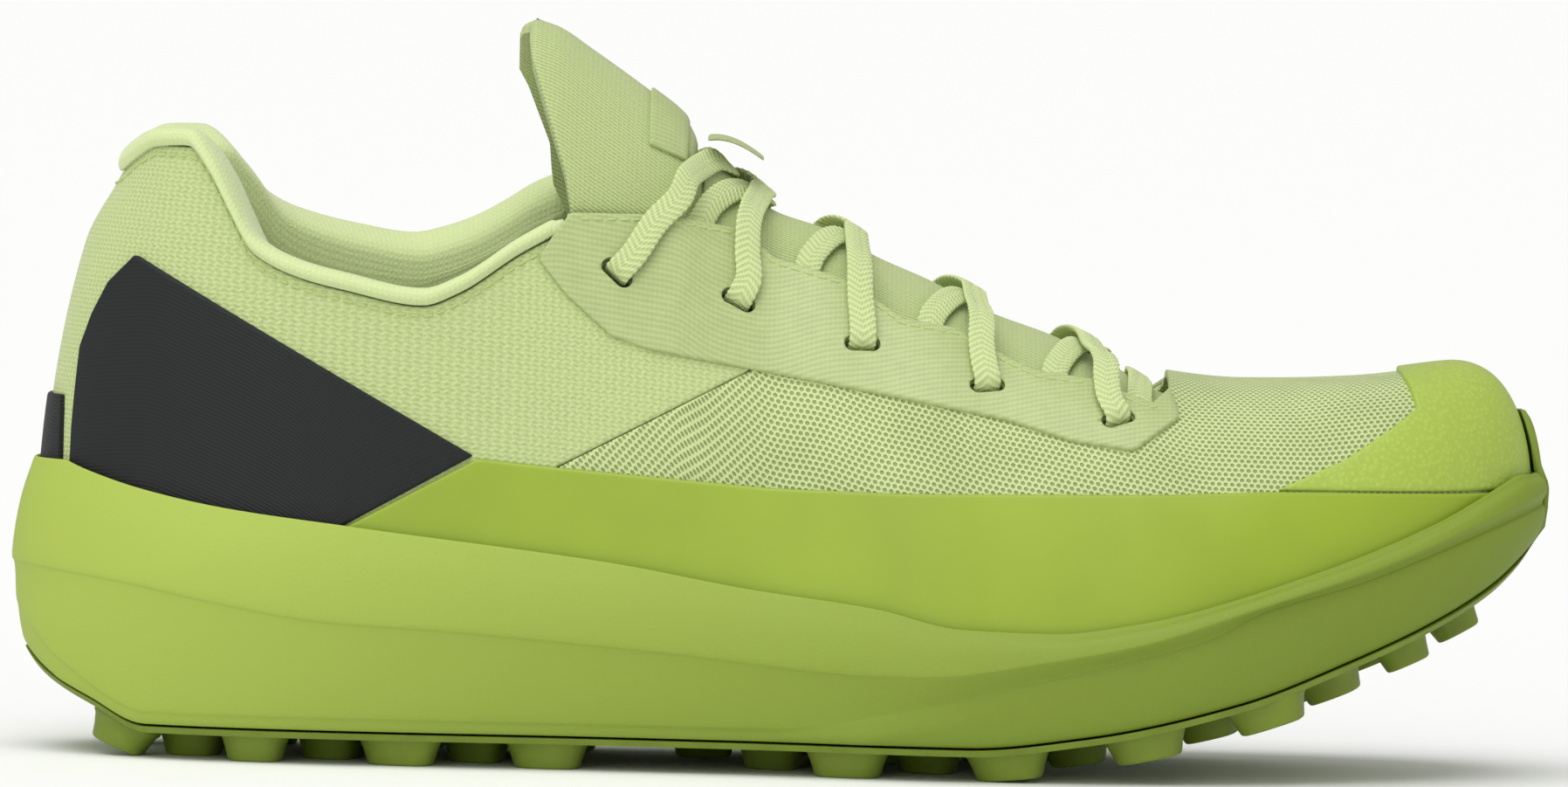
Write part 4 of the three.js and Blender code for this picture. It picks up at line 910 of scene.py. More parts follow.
def midsole_section(side, station):
    width = np.interp(station, FOOT[side].stations, FOOT[side].width)
    wall = sole_wall(side, station)
    wall[..., 0] -= (bumper_share(station) * (BUMPER + GAP))[:, None]
    rim = wall[:, -1]
    inner = width + RIM_CLEARANCE

    def floor(r):
        return foot_line(lengthwise(side, station, r)) + SOLE_FLOOR

    points = [(inner * share, floor(inner * share)) for share in np.linspace(0, 1, 9)]
    foot = points[-1][1]
    for share in (0.35, 0.7, 1.0):
        height = lerp(foot, rim[:, 1], share)
        reach = FOOT[side].radius_at(station, height) + RIM_CLEARANCE
        points.append((np.minimum(reach, rim[:, 0] - 0.6), height - (0.5 if share == 1 else 0)))
    points += [(wall[:, i, 0], wall[:, i, 1]) for i in range(9, 1, -1)]
    corner, base = wall[:, 0, 0], wall[:, 0, 1]
    lift = OUTSOLE + GAP
    points.append((corner + 0.9, base + lift - 0.2))
    points.append((corner - 1.5, base + lift))
    for share in (0.75, 0.5, 0.25, 0.0):
        r = corner * share
        points.append((r, underside(side, station, r) + lift))
    return rounded(profile(points), 3)


def outsole_section(side, station):
    wall = sole_wall(side, station)
    corner, base = wall[:, 0, 0], wall[:, 0, 1]
    lip = bumper_share(station)
    top = lerp(base + 1, BUMPER_HEIGHT, lip) + GAP
    thick = lerp(OUTSOLE * 0.8, BUMPER, lip)
    out, back = [], []
    for share in np.linspace(0.03, 1, 18):
        height = lerp(base, top, share)
        r = wall_radius(side, station, wall, height)
        edge = 0.5 * np.clip((share - 0.9) / 0.1, 0, 1) ** 2
        out.append((r - edge, height))
        lift = (1 - share) * np.minimum(OUTSOLE, 0.9 * (top - base))
        back.append((r - thick + edge * 0.5, height + lift))
    under = [
        (corner * share, underside(side, station, corner * share))
        for share in np.linspace(0, 0.97, 7)]
    points = [(r, z + OUTSOLE) for r, z in under[:-1]] + back + out[::-1]
    points += [(corner, base)] + under[::-1]
    return profile(points)


OUTER_LUGS = {
    LATERAL: [24, 49, 77, 105, 162.5, 193, 219, 242],
    MEDIAL: [24, 50, 78, 107, 149.5, 176.5, 205, 231]}
INNER_LUGS = {
    LATERAL: [36.5, 63, 91, 148, 178, 206, 231, 254],
    MEDIAL: [36.5, 63, 91, 134.5, 163, 190, 218, 243]}
TOE_LUGS = [(268, -14), (262, 22), (278, 2)]
MIDDLE_LUGS = [170.5, 198, 226, 250]


def lug_places():
    """(x, y, length, width, turn) of every lug."""
    def edge(side, x):
        station, _ = FOOT[side].seen(x, float(foot_line(x)) + 0.5)
        corner = sole_wall(side, np.array([station]))[0, 0, 0]
        _, y, _, dy = rib(side, station)
        return float(y + corner * dy)

    places = []
    for side in SIDES:
        for x in OUTER_LUGS[side]:
            places.append((x, edge(side, x) - side * 8.2, 14 if x < 60 else 17, 15, side * 0.12))
        for x in INNER_LUGS[side]:
            places.append((x, edge(side, x) * 0.36 + 2 * side, 14, 13, side * 0.3))
    places += [(x, y + TOE_INFLARE * 0.6, 12, 13, 0) for x, y in TOE_LUGS]
    places += [(x, 4, 12, 11, 0) for x in MIDDLE_LUGS]
    return places


def lug_template():
    """One lug of unit length, width and height, pointing down, with a flared root."""
    corners = np.array([(-0.5, -0.4), (0.38, -0.5), (0.5, 0), (0.38, 0.5), (-0.5, 0.4)])
    outline = rounded(corners[None], 2, closed=True)[0]
    levels = [
        (1.0, 0.16), (1.0, 0.0), (0.93, -0.12), (0.84, -0.5), (0.77, -0.9), (0.74, -0.97),
        (0.69, -1.0)]
    rings = [np.column_stack([outline * size, np.full(len(outline), z)]) for size, z in levels]
    mesh = bpy.data.meshes.new("lug shape")
    mesh.from_pydata(np.concatenate(rings).tolist(), [], tube_faces(len(levels), len(outline)))
    work = bmesh.new()
    work.from_mesh(mesh)
    bmesh.ops.recalc_face_normals(work, faces=work.faces)
    work.to_mesh(mesh)
    work.free()
    return bpy.data.objects.new("lug shape", mesh)


def scatter_tree(name):
    """Nodes that set a copy of the shape on every point, turned and sized by its attributes."""
    tree = bpy.data.node_groups.new(name, "GeometryNodeTree")
    face = tree.interface
    face.new_socket("Geometry", in_out="INPUT", socket_type="NodeSocketGeometry")
    face.new_socket("Shape", in_out="INPUT", socket_type="NodeSocketObject")
    face.new_socket("Size", in_out="INPUT", socket_type="NodeSocketFloat").default_value = 1.0
    face.new_socket("Finish", in_out="INPUT", socket_type="NodeSocketMaterial")
    face.new_socket("Geometry", in_out="OUTPUT", socket_type="NodeSocketGeometry")
    start, end = tree.nodes.new("NodeGroupInput"), tree.nodes.new("NodeGroupOutput")
    info = tree.nodes.new("GeometryNodeObjectInfo")
    turn, size = (tree.nodes.new("GeometryNodeInputNamedAttribute") for _ in range(2))
    for node, attribute in ((turn, "turn"), (size, "size")):
        node.data_type = "FLOAT_VECTOR"
        node.inputs["Name"].default_value = attribute
    euler = tree.nodes.new("FunctionNodeEulerToRotation")
    grow = tree.nodes.new("ShaderNodeVectorMath")
    grow.operation = "SCALE"
    copy = tree.nodes.new("GeometryNodeInstanceOnPoints")
    real = tree.nodes.new("GeometryNodeRealizeInstances")
    coat = tree.nodes.new("GeometryNodeSetMaterial")
    for a, b in (
            (start.outputs["Geometry"], copy.inputs["Points"]),
            (start.outputs["Shape"], info.inputs["Object"]),
            (info.outputs["Geometry"], copy.inputs["Instance"]),
            (turn.outputs["Attribute"], euler.inputs[0]),
            (euler.outputs[0], copy.inputs["Rotation"]),
            (size.outputs["Attribute"], grow.inputs[0]),
            (start.outputs["Size"], grow.inputs["Scale"]),
            (grow.outputs[0], copy.inputs["Scale"]), (copy.outputs[0], real.inputs[0]),
            (real.outputs[0], coat.inputs["Geometry"]),
            (start.outputs["Finish"], coat.inputs["Material"]),
            (coat.outputs[0], end.inputs[0])):
        tree.links.new(a, b)
    return tree


def scattered(name, places, turns, sizes, shape, material):
    """Copies of a shape as one plain mesh, in the frame. places are in design millimetres."""
    mesh = bpy.data.meshes.new(name)
    mesh.from_pydata(((np.asarray(places, float) + SHIFT) * MM).tolist(), [], [])
    for attribute, values in (("turn", turns), ("size", sizes)):
        layer = mesh.attributes.new(attribute, "FLOAT_VECTOR", "POINT")
        layer.data.foreach_set("vector", np.asarray(values, np.float32).ravel())
    seeds = new_object(name, mesh)
    tree = scatter_tree(name)
    modifier = seeds.modifiers.new("copies", "NODES")
    modifier.node_group = tree
    sockets = {s.name: s.identifier for s in tree.interface.items_tree if s.in_out == "INPUT"}
    modifier[sockets["Shape"]] = shape
    modifier[sockets["Finish"]] = material
    result = final_mesh(seeds)
    bpy.data.objects.remove(seeds)
    result.name = name
    return new_object(name, result)


def make_sole(settings):
    midsole = sweep("midsole", midsole_section, ribs(1.0), finish("foam"), sharp=50)
    midsole.name = "foam_midsole"
    settle(midsole, SHOE, "foam", "midsole")
    rubber = finish("rubber")
    sheet = sweep("outsole_sheet", outsole_section, ribs(1.0), rubber)
    places, turns, sizes = [], [], []
    for x, y, length, width, turn in lug_places():
        slope = math.atan2(float(base_line(x + 3) - base_line(x - 3)), 6)
        places.append((x, y, float(base_line(x))))
        matrix = Matrix.Rotation(-slope, 3, "Y") @ Matrix.Rotation(turn, 3, "Z")
        turns.append(tuple(matrix.to_euler("XYZ")))
        sizes.append((length * MM, width * MM, LUG_HEIGHT * MM))
    lugs = scattered("lugs", places, turns, sizes, lug_template(), rubber)
    for vertex in lugs.data.vertices:
        vertex.co.z = max(vertex.co.z, 0.0)
    settle(merged("rubber_outsole", [sheet, lugs]), SHOE, "rubber", "outsole")


# ---------------------------------------------------------------------------------------------
# Inside the shoe
# ---------------------------------------------------------------------------------------------


def sockliner_section(side, station):
    inset = -LINING_INNER + 2 * GAP
    width = np.interp(station, FOOT[side].stations, FOOT[side].width) - inset

    def foot(r):
        return foot_line(lengthwise(side, station, r))

    top = [
        (width * s, foot(width * s) + SOCKLINER + 2 * s ** 6) for s in np.linspace(0, 0.985, 14)]
    low = [(width * s, foot(width * s)) for s in np.linspace(1, 0, 8)]
    points = top + [(width, foot(width) + SOCKLINER + 1.4)] + low
    return profile(points)


lining_top = straight(
    (-6, 84), (20, 84), (44, 70), (60, 62.5), (80, 58.5), (96, 62), (104, 70), (107.6, 81.8),
    (139.4, 80.9), (163.3, 76.2), (187.3, 68.8), (212.1, 62.8), (226.8, 61.5), (226.9, 999))


def make_inside(settings):
    liner = sweep("cushion_insole", sockliner_section, ribs(1.5), finish("sock"))
    settle(liner, SHOE, "sock", "sockliner")
    lining = panel_piece(
        "textile_lining", SIDES, lambda _, x, z: lining_top(x) - z, LINING_INNER, LINING_OUTER,
        finish("lining"), drop=0.1, step=3, rows=50)
    settle(lining, SHOE, "lining", "lining")
    hidden = {
        "strobel_board": "board", "eyestay_backing_lateral": "board",
        "eyestay_backing_medial": "board", "heel_counter": "stiffener", "toe_puff": "stiffener"}
    for node, slot in hidden.items():
        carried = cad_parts[node]
        carried.data.materials.clear()
        carried.data.materials.append(finish(slot))


ROLL_TAPER, ROLL_FRONT = 102.0, 107.2


def collar_ring(side, station):
    """The padded collar's section on one rib, as points."""
    form = FOOT[side]
    row = rib_row(station)
    top = COLLAR_HEIGHT[side][row]
    late = float(smooth(70, PAD_FRONT, station))
    inner = LINING_OUTER - PAD * (1 - 0.35 * late)
    deep = PAD_DEPTH * (1 - 0.35 * float(smooth(60, PAD_FRONT, station)))
    heel = 1 - float(smooth(14, 46, station))
    fat = 1.9 + 0.3 * heel
    loop = [
        (-ROLL_HEIGHT - 3.4 * heel, 0.1), (-ROLL_HEIGHT + 0.6 - 3.0 * heel, 0.7 * fat),
        (-1.6 - 2.2 * heel, fat),
        (-0.1 - 1.0 * heel, 0.5 * fat), (0.25 + 0.4 * heel, -1.4), (-0.4 + 0.5 * heel, -4.0),
        (-2.6, inner + 0.6), (-7, inner), (-deep * 0.35, inner * 1.02),
        (-deep * 0.55, inner * 0.92), (-deep * 0.85, inner * 0.62), (-deep, LINING_OUTER - 0.6),
        (-deep, LINING_OUTER), (-deep * 0.5, LINING_OUTER), (-7, LINING_OUTER),
        (-ROLL_HEIGHT - 0.8, LINING_OUTER), (-ROLL_HEIGHT + 1.1, LINING_OUTER + 0.6)]
    down, offset = np.array(loop).T
    end = float(np.clip((station - ROLL_TAPER) / (ROLL_FRONT - ROLL_TAPER), 0, 1))
    size = math.sqrt(1 - min(end, 0.995) ** 2)
    down = np.where(down > -9, -4 + (down + 4) * size, down)
    offset = lerp(-3.0, offset, size)
    angle = np.interp(top + down, form.z[row], form.angles)
    return form.at(np.full(len(loop), station), angle, offset)


def collar_heights():
    heights = {}
    for side in SIDES:
        form = FOOT[side]
        _, last = span(side, lambda side, x, z: collar_top[side](x) - z)
        heights[side] = np.array([
            np.interp(a, form.angles, z) if np.isfinite(a) else np.nan
            for a, z in zip(last, form.z)])
    return heights


COLLAR_HEIGHT = collar_heights()


def make_collar(settings):
    """The padded roll round the ankle opening."""
    bend = np.linspace(0, math.pi / 2, 12)
    stations = np.concatenate([
        np.arange(0, ROLL_TAPER, 1.2), ROLL_TAPER + (ROLL_FRONT - ROLL_TAPER) * np.sin(bend)])
    rings = [collar_ring(LATERAL, s) for s in stations[:0:-1]]
    rings += [collar_ring(MEDIAL, s) for s in stations]
    rings = rounded(np.array(rings), 2, closed=True)
    count, size = rings.shape[:2]
    arc = np.cumsum(np.linalg.norm(np.diff(rings[:, 4], axis=0, prepend=rings[:1, 4]), axis=1))
    girth = np.linalg.norm(np.diff(rings, axis=1), axis=2).mean(axis=0)
    wrap = np.concatenate([[0], np.cumsum(girth)])
    places = np.stack(np.meshgrid(arc, wrap, indexing="ij"), axis=-1).reshape(-1, 2)
    roll = mesh_object(
        "collar_roll", rings.reshape(-1, 3), tube_faces(count, size), finish("lining"), places)
    settle(roll, SHOE, "lining", "collar_padding")


# ---------------------------------------------------------------------------------------------
# Upper
# ---------------------------------------------------------------------------------------------

OVERLAY_INNER = GAP - 0.35      # overlays sink a little into the cloth under them
OUT_OF_REACH = 999
COLLAR_END = 106.4              # where the quarter's edge changes from the collar to the throat
RAND_TUCK = 4                   # how far the rand goes down behind the sole's rim
RAND_REAR = 62
EYESTAY_ENDS = (100.9, 224.5)
STRIP_FRONT, STRIP_BOTTOM, STRIP_TOP = 10.2, 50, 68.6

throat = straight(*throat_edge)
throat_upper = straight((100.9, 97.4), (103.6, 101.6), *throat_edge, (224.5, 69.6))
seam = straight((94.9, -50), *vamp_seam, (152.3, 999))
eyestay_low = straight(*eyestay_lower)
rand_high = straight(*rand_top)
cap_back = straight(*cap_edge)
heel_left = straight(
    (44, 12.2), (67.1, 12.6), (77.4, 13.5), (84.9, 16.1), (90.9, 19.1), (96.1, 24.1))
heel_low = straight((12, 44), (60, 42.4), (66, 46.4), (89.6, 59.8))
heel_high = straight((12, 97), (24.1, 96.1), (89.6, 59.8))


def least(*values):
    result = values[0]
    for value in values[1:]:
        result = np.minimum(result, value)
    return result


def quarter_area(side, x, z):
    edge = np.where(x < COLLAR_END, collar_top[side](x) - ROLL_HEIGHT, throat(x))
    return least(edge - z, z - seam(x))


def vamp_area(_, x, z):
    opening = np.where(x < throat_edge[-1][0], throat(x), OUT_OF_REACH)
    return least(seam(x - SEAM_GAP) - z, opening - z)


def pierced(piece, side):
    """The piece with one side's five lace slots cut through it."""
    points, faces = [], []
    turn = np.linspace(0, 2 * math.pi, 24, endpoint=False)
    for row in range(len(eyelets)):
        centre, normal, up = slot_frame(side, row)
        along = np.cross(normal, up)
        straight_half = (SLOT_LENGTH - SLOT_WIDTH) / 2
        ends = np.cos(turn) * SLOT_WIDTH / 2 + np.sign(np.cos(turn)) * straight_half
        rim = along[None] * ends[:, None] + up[None] * (np.sin(turn) * SLOT_WIDTH / 2)[:, None]
        start = len(points)
        for height in (-4, 4):
            points.extend(centre + normal * height + rim)
        faces += tube_faces(2, len(turn), start)
    cutter = mesh_object("slot_cutter", np.array(points), faces, finish("thread"))
    cut = piece.modifiers.new("slots", "BOOLEAN")
    cut.object, cut.operation, cut.solver = cutter, "DIFFERENCE", "EXACT"
    mesh = final_mesh(piece)
    piece.modifiers.clear()
    mesh.materials.clear()
    mesh.materials.append(piece.data.materials[0])
    piece.data = mesh
    bpy.data.objects.remove(cutter)
    return piece


def eyestay_area(_, x, z):
    return least(throat_upper(x) - z, z - eyestay_low(x), x - EYESTAY_ENDS[0], EYESTAY_ENDS[1] - x)


def rand_area(_, x, z):
    return least(rand_high(x) - z, z - rim_line(x) + RAND_TUCK, x - RAND_REAR)


def heel_area(_, x, z):
    return least(heel_high(x) - z, z - heel_low(x), x - heel_left(z))


def cap_area(_, x, z):
    return least(x - cap_back(z), z - rand_top[-1][1] - SEAM_GAP)


def strip_area(_, x, z):
    return least(STRIP_FRONT - x, STRIP_TOP - z, z - STRIP_BOTTOM)


def make_upper(settings):
    """Each piece is a panel: its name, node, material slot, area, layer and edges."""
    knitted, laid_on = (-SHELL, 0), (OVERLAY_INNER, FILM_OUTER)
    sided = [
        ("knit_quarter", "quarter", "knit", quarter_area, knitted,
         dict(rows=90, edge=1.0, drop=0.5, from_sole=True)),
        ("film_eyestay", "eyestay", "clear_film", eyestay_area, laid_on,
         dict(rows=40, edge=0.7, drop=0.55)),
        ("film_rand", "rand", "rand_film", rand_area, laid_on, dict(rows=36, edge=0.8, drop=0.6)),
        ("twill_heel", "heel_panel", "black_fabric", heel_area, laid_on,
         dict(rows=40, edge=0.7, drop=0.5))]
    whole = [
        ("mesh_vamp", "vamp", "mesh", vamp_area, knitted, dict(rows=90, edge=1.0, drop=0.5)),
        ("embossed_toe_cap", "toe_cap", "cap_film", cap_area, laid_on,
         dict(rows=50, edge=0.8, drop=0.55, step=1)),
        ("heel_tape", "heel_strip", "black_fabric", strip_area, laid_on,
         dict(rows=30, edge=0.7, drop=0.4, step=1))]
    jobs = [
        (f"{name}_{SIDE_NAME[side]}", f"{node}_{SIDE_NAME[side]}", [side], *rest)
        for side in SIDES for name, node, *rest in sided]
    jobs += [(name, node, SIDES, *rest) for name, node, *rest in whole]
    for name, node, sides, slot, area, layer, shape in jobs:
        piece = panel_piece(name, sides, area, *layer, finish(slot), **shape)
        if area in (quarter_area, eyestay_area, vamp_area):
            for side in sides:
                piece = pierced(piece, side)
        settle(piece, SHOE, slot, node)


# ---------------------------------------------------------------------------------------------
# Tongue
# ---------------------------------------------------------------------------------------------

TONGUE_REAR, TONGUE_FRONT = 107.6, 226   # ends of the part under the lace
PATCH_REAR, PATCH_FRONT = 121.5, 129.6
PATCH_SINK = 0.2                # how deep the patch lies in the flap
TIP_CENTRE, TIP_RADIUS = (101.8, 142.2), 6.2

tongue_low = straight(
    *((TONGUE_REAR if i == 0 else x, z - tongue_drop[i]) for i, (x, z) in enumerate(eyelets)),
    (TONGUE_FRONT, 62.5))
fold_back = straight(
    (TONGUE_REAR, WING - 0.7), (126, WING - 0.7), (126.7, WING), (131.7, 117),
    (131.75, OUT_OF_REACH))
fold_front = straight((107, WING), (126, WING), (131, 117))
tongue_back = {
    LATERAL: straight(*((z, x) for x, z in tongue_rear)),
    MEDIAL: straight(
        (106.8, 105.5), (113, 102.6), (121, 102), (133, 97.6), (139, 94.4), (144, 95.0),
        (150, 97.8)),
}
label_low = straight((117, 124), (121, 122), (PATCH_FRONT, 118.5))


def make_tongue(settings):
    base = panel_piece(
        "tongue_lower", SIDES,
        lambda _, x, z: least(
            z - tongue_low(x), fold_back(x) - z, TONGUE_FRONT - x, x - TONGUE_REAR),
        TONGUE_INNER, TONGUE_OUTER, finish("tongue_knit"), rows=50, edge=2.0, drop=1.2)
    settle(base, SHOE, "tongue_knit", "tongue_base")
    flap = panel_piece(
        "tongue_flap", SIDES,
        lambda side, x, z: least(
            z - fold_front(x), x - tongue_back[side](z), FOLD_X - x,
            TIP_RADIUS - np.hypot(
                np.minimum(x - TIP_CENTRE[0], 0), np.maximum(z - TIP_CENTRE[1], 0))),
        TONGUE_INNER, TONGUE_OUTER, finish("tongue_knit"), rows=40, step=1, edge=2.4, drop=1.8)
    flap.name = "tongue_upper"
    settle(flap, FLAP, "tongue_knit", "tongue_top")
    label = panel_piece(
        "tongue_patch", SIDES,
        lambda _, x, z: least(z - label_low(x), PATCH_FRONT - x, x - PATCH_REAR),
        LABEL_INNER - PATCH_SINK, LABEL_OUTER, finish("label"), rows=30, step=1, edge=0.8,
        drop=0.5)
    settle(label, FLAP, "label", "tongue_label")
    settle(pull_tab(), TAB, "label", "tongue_tab")


TAB_DROOP = [0.6, 1.4, -0.4, -3]    # control heights over the root, from there to the tip
TAB_ROOT = 3.0
TAB_THICKNESS = (1.0, 0.6)          # at the root and at the tip


def pull_tab():
    """The webbing tab that stands out over the top lace."""
    low, high = (np.array(corner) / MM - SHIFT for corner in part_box("tongue_tab"))
    t = np.linspace(0, 1, 24)
    weight = np.stack([(1 - t) ** 3, 3 * t * (1 - t) ** 2, 3 * t ** 2 * (1 - t), t ** 3])
    height = low[2] + TAB_ROOT + np.array(TAB_DROOP, float) @ weight
    x = lerp(low[0], high[0], t)
    full = lerp(*TAB_THICKNESS, t)[:, None]
    corner = 1 - np.clip((t - 0.86) / 0.14, 0, 1) ** 2 * 0.16
    across = np.linspace(-1, 1, 21)
    half = (high[1] - low[1]) / 2
    middle = (high[1] + low[1]) / 2
    grid_x = x[:, None] + 0 * across
    grid_y = middle + half * corner[:, None] * across
    ends = np.minimum(1, np.minimum(t[:, None] + 0.04, 1.04 - t[:, None]) / 0.08)
    soft = np.sqrt(np.clip(1 - np.abs(across) ** 10, 0, 1)) * ends
    thick = full * (0.35 + 0.65 * soft)
    middle_line = height[:, None] + full / 2 + 0 * across
    top = np.stack([grid_x, grid_y, middle_line + thick / 2], axis=-1)
    bottom = np.stack([grid_x, grid_y, middle_line - thick / 2], axis=-1)
    points, faces = slab(top, bottom, np.zeros(top.shape[:2], bool))
    places = np.concatenate([np.stack([grid_x, grid_y], axis=-1).reshape(-1, 2)] * 2)
    return mesh_object("pull_tab", points, faces, finish("label"), places)


# ---------------------------------------------------------------------------------------------
# Lace
# ---------------------------------------------------------------------------------------------

SLOPE_ALLOWANCE = 1.33          # offsets are taken square to the form, strands cross it at a slope
LACE_THICKNESS, STRAND_GAP = 1.0, 0.48
SLOT_LENGTH, SLOT_WIDTH = 7.0, 3.4      # the lace's width and thickness with room to pass
OVER_EYESTAY = FILM_OUTER + (STRAND_GAP + LACE_THICKNESS / 2) * SLOPE_ALLOWANCE
LOWER_STRAND = TONGUE_OUTER + (STRAND_GAP + LACE_THICKNESS / 2) * SLOPE_ALLOWANCE
UPPER_STRAND = LOWER_STRAND + (STRAND_GAP + LACE_THICKNESS) * SLOPE_ALLOWANCE
CROSSINGS = [144, 161.5, 184.5, 206.5]
EMERGENCES = [(130, 104.4), (150.5, 95.6), (174, 85.2), (198.5, 76), (216.5, 71.4)]
TOP_BAR, BOTTOM_BAR = 137.0, 217.0
LACE_END = (127, 97.5)


def on_surface(side, place, offset):
    """A place on the foot form: station, swing from the spine (negative outside) and offset."""
    station, angle = FOOT[side].seen(*place)
    return station, side * (math.pi / 2 - angle), offset


def world_of(station, swing, offset):
    side = LATERAL if swing < 0 else MEDIAL
    return FOOT[side].at(np.array([station]), np.array([math.pi / 2 - abs(swing)]), offset)[0]


def normal_at(station, swing, offset):
    swing = 0.03 if abs(swing) < 0.03 else swing
    ahead = world_of(station + 0.6, swing, offset) - world_of(station - 0.6, swing, offset)
    beside = world_of(station, swing + 0.02, offset) - world_of(station, swing - 0.02, offset)
    normal = np.cross(ahead, beside)
    normal /= np.linalg.norm(normal)
    inward = world_of(station, swing, offset - 1) - world_of(station, swing, offset)
    return -normal if normal @ inward > 0 else normal


def sample(where):
    return world_of(*where), normal_at(*where)


def glide(start, end, count):
    """Samples between two places on the form, both ends left out."""
    made = []
    for i in range(1, count + 1):
        t = i / (count + 1)
        ease = float(smooth(0, 1, t))
        made.append(sample((
            lerp(start[0], end[0], t), lerp(start[1], end[1], t), lerp(start[2], end[2], ease))))
    return made


def flipped(samples):
    return [(point, -normal) for point, normal in samples]


def slot_frame(side, row):
    where = on_surface(side, eyelets[row], 0)
    centre, normal = sample(where)
    if row == 0:
        target = (TOP_BAR, 118.5)
    else:
        target = (CROSSINGS[row - 1] + 2, throat_edge[2 * row + 1][1] + 5)
    aim = np.array([target[0] - eyelets[row][0], 0, target[1] - eyelets[row][1]])
    aim -= normal * (aim @ normal)
    return centre, normal, aim / np.linalg.norm(aim)


def bent(side, row, turns):
    """Samples at each (rise, offset, tilt) beside a slot."""
    centre, normal, up = slot_frame(side, row)
    return [
        (centre + up * rise + normal * offset, normal * math.cos(tilt) - up * math.sin(tilt))
        for rise, offset, tilt in turns]


def hairpin(side, row):
    """Through a slot, from the outside to the inside of the upper."""
    return bent(side, row, [
        (3.2, OVER_EYESTAY, 0), (1.3, OVER_EYESTAY - 0.1, 0.25), (0.25, OVER_EYESTAY - 0.8, 1.1),
        (0, -0.7, math.pi / 2), (0.25, LOWER_STRAND + 0.75, math.pi - 1.1),
        (1.3, LOWER_STRAND + 0.1, math.pi - 0.25), (3.2, LOWER_STRAND, math.pi)])


def pass_through(side, row):
    """Through a slot in one direction, ending on the inside."""
    return hairpin(side, row)[:4] + bent(side, row, [
        (-0.3, LOWER_STRAND + 0.7, 1.1), (-1.5, LOWER_STRAND + 0.1, 0.25),
        (-3.4, LOWER_STRAND, 0)])


def slot_lip(side, row):
    centre, _, up = slot_frame(side, row)
    lip = centre + up * 4.6
    return on_surface(side, (lip[0], lip[2]), OVER_EYESTAY)


def crossover(side, row):
    """From under the edge beside a row, over the spine and to the next slot on the other side."""
    level = UPPER_STRAND if side == MEDIAL else LOWER_STRAND
    hole = on_surface(-side, eyelets[row + 1], OVER_EYESTAY)
    start = on_surface(side, EMERGENCES[row], LOWER_STRAND)
    crest = (CROSSINGS[row], 0.0, level)
    rise = (lerp(crest[0], hole[0], 0.25), hole[1] * 0.30, level)
    fall = (lerp(crest[0], start[0], 0.42), start[1] * 0.42, level)
    edge = (lerp(crest[0], hole[0], 0.62), hole[1] * 0.66, OVER_EYESTAY + 0.2)
    return [
        sample(start), *glide(start, fall, 1), sample(fall), *glide(fall, crest, 1), sample(crest),
        *glide(crest, rise, 1), sample(rise), *glide(rise, edge, 2), sample(edge),
        *glide(edge, slot_lip(-side, row + 1), 1)]


def strand_from(side, row):
    lip = slot_lip(side, row)
    edge = on_surface(side, EMERGENCES[row], LOWER_STRAND)
    samples = hairpin(side, row) + flipped(glide((lip[0], lip[1], LOWER_STRAND), edge, 1))
    return samples + (flipped(from_under(side, row)) if row < len(eyelets) - 1 else [])


def from_under(side, row):
    return crossover(side, row) + flipped(strand_from(-side, row + 1))


def top_bar(side):
    hole = slot_lip(side, 0)
    crest = (TOP_BAR, 0.0, LOWER_STRAND)

    def shelf(t, offset):
        return lerp(crest[0], hole[0], 0.68 * t), hole[1] * t, offset

    low, edge = shelf(0.42, LOWER_STRAND), shelf(0.74, OVER_EYESTAY + 0.2)
    return [
        *glide(hole, edge, 1), sample(edge), *glide(edge, low, 2), sample(low),
        *glide(low, crest, 1), sample(crest)]


def lace_samples():
    bottom = (BOTTOM_BAR, 0.0, LOWER_STRAND)
    near, far = (on_surface(side, EMERGENCES[-1], LOWER_STRAND) for side in SIDES)
    bar = [
        sample(near), *glide(near, bottom, 2), sample(bottom), *glide(bottom, far, 2),
        sample(far)]
    last = on_surface(MEDIAL, EMERGENCES[0], LOWER_STRAND)
    end = on_surface(MEDIAL, LACE_END, LOWER_STRAND)
    return [
        *pass_through(MEDIAL, 0)[::-1], *top_bar(MEDIAL), *top_bar(LATERAL)[::-1][1:],
        *strand_from(LATERAL, 0), *bar, *from_under(MEDIAL, 0)[::-1], *glide(last, end, 1),
        sample(end)]


def steady_frames(samples):
    """Points and width directions along the ribbon, without flips."""
    points = np.array([point for point, _ in samples])
    travel = unit(np.gradient(points, axis=0))
    across = unit(np.cross(travel, np.array([normal for _, normal in samples])))
    for i in range(1, len(across)):
        if across[i] @ across[i - 1] < 0:
            across[i] = -across[i]
    return points, across


def spline(values, place, at):
    """Catmull-Rom curve through values at rising places."""
    i = np.clip(np.searchsorted(place, at) - 1, 0, len(place) - 2)
    slope = np.gradient(values, place, axis=0)
    h = (place[i + 1] - place[i])[:, None]
    t = ((at - place[i]) / h[:, 0])[:, None]
    return (
        (1 + 2 * t) * (1 - t) ** 2 * values[i] + t * (1 - t) ** 2 * h * slope[i]
        + t * t * (3 - 2 * t) * values[i + 1] + t * t * (t - 1) * h * slope[i + 1])


LACE_STEP = 0.45                # between rings of points along the lace
LACE_RING = 20
PLAIT_LENGTH = 1.35


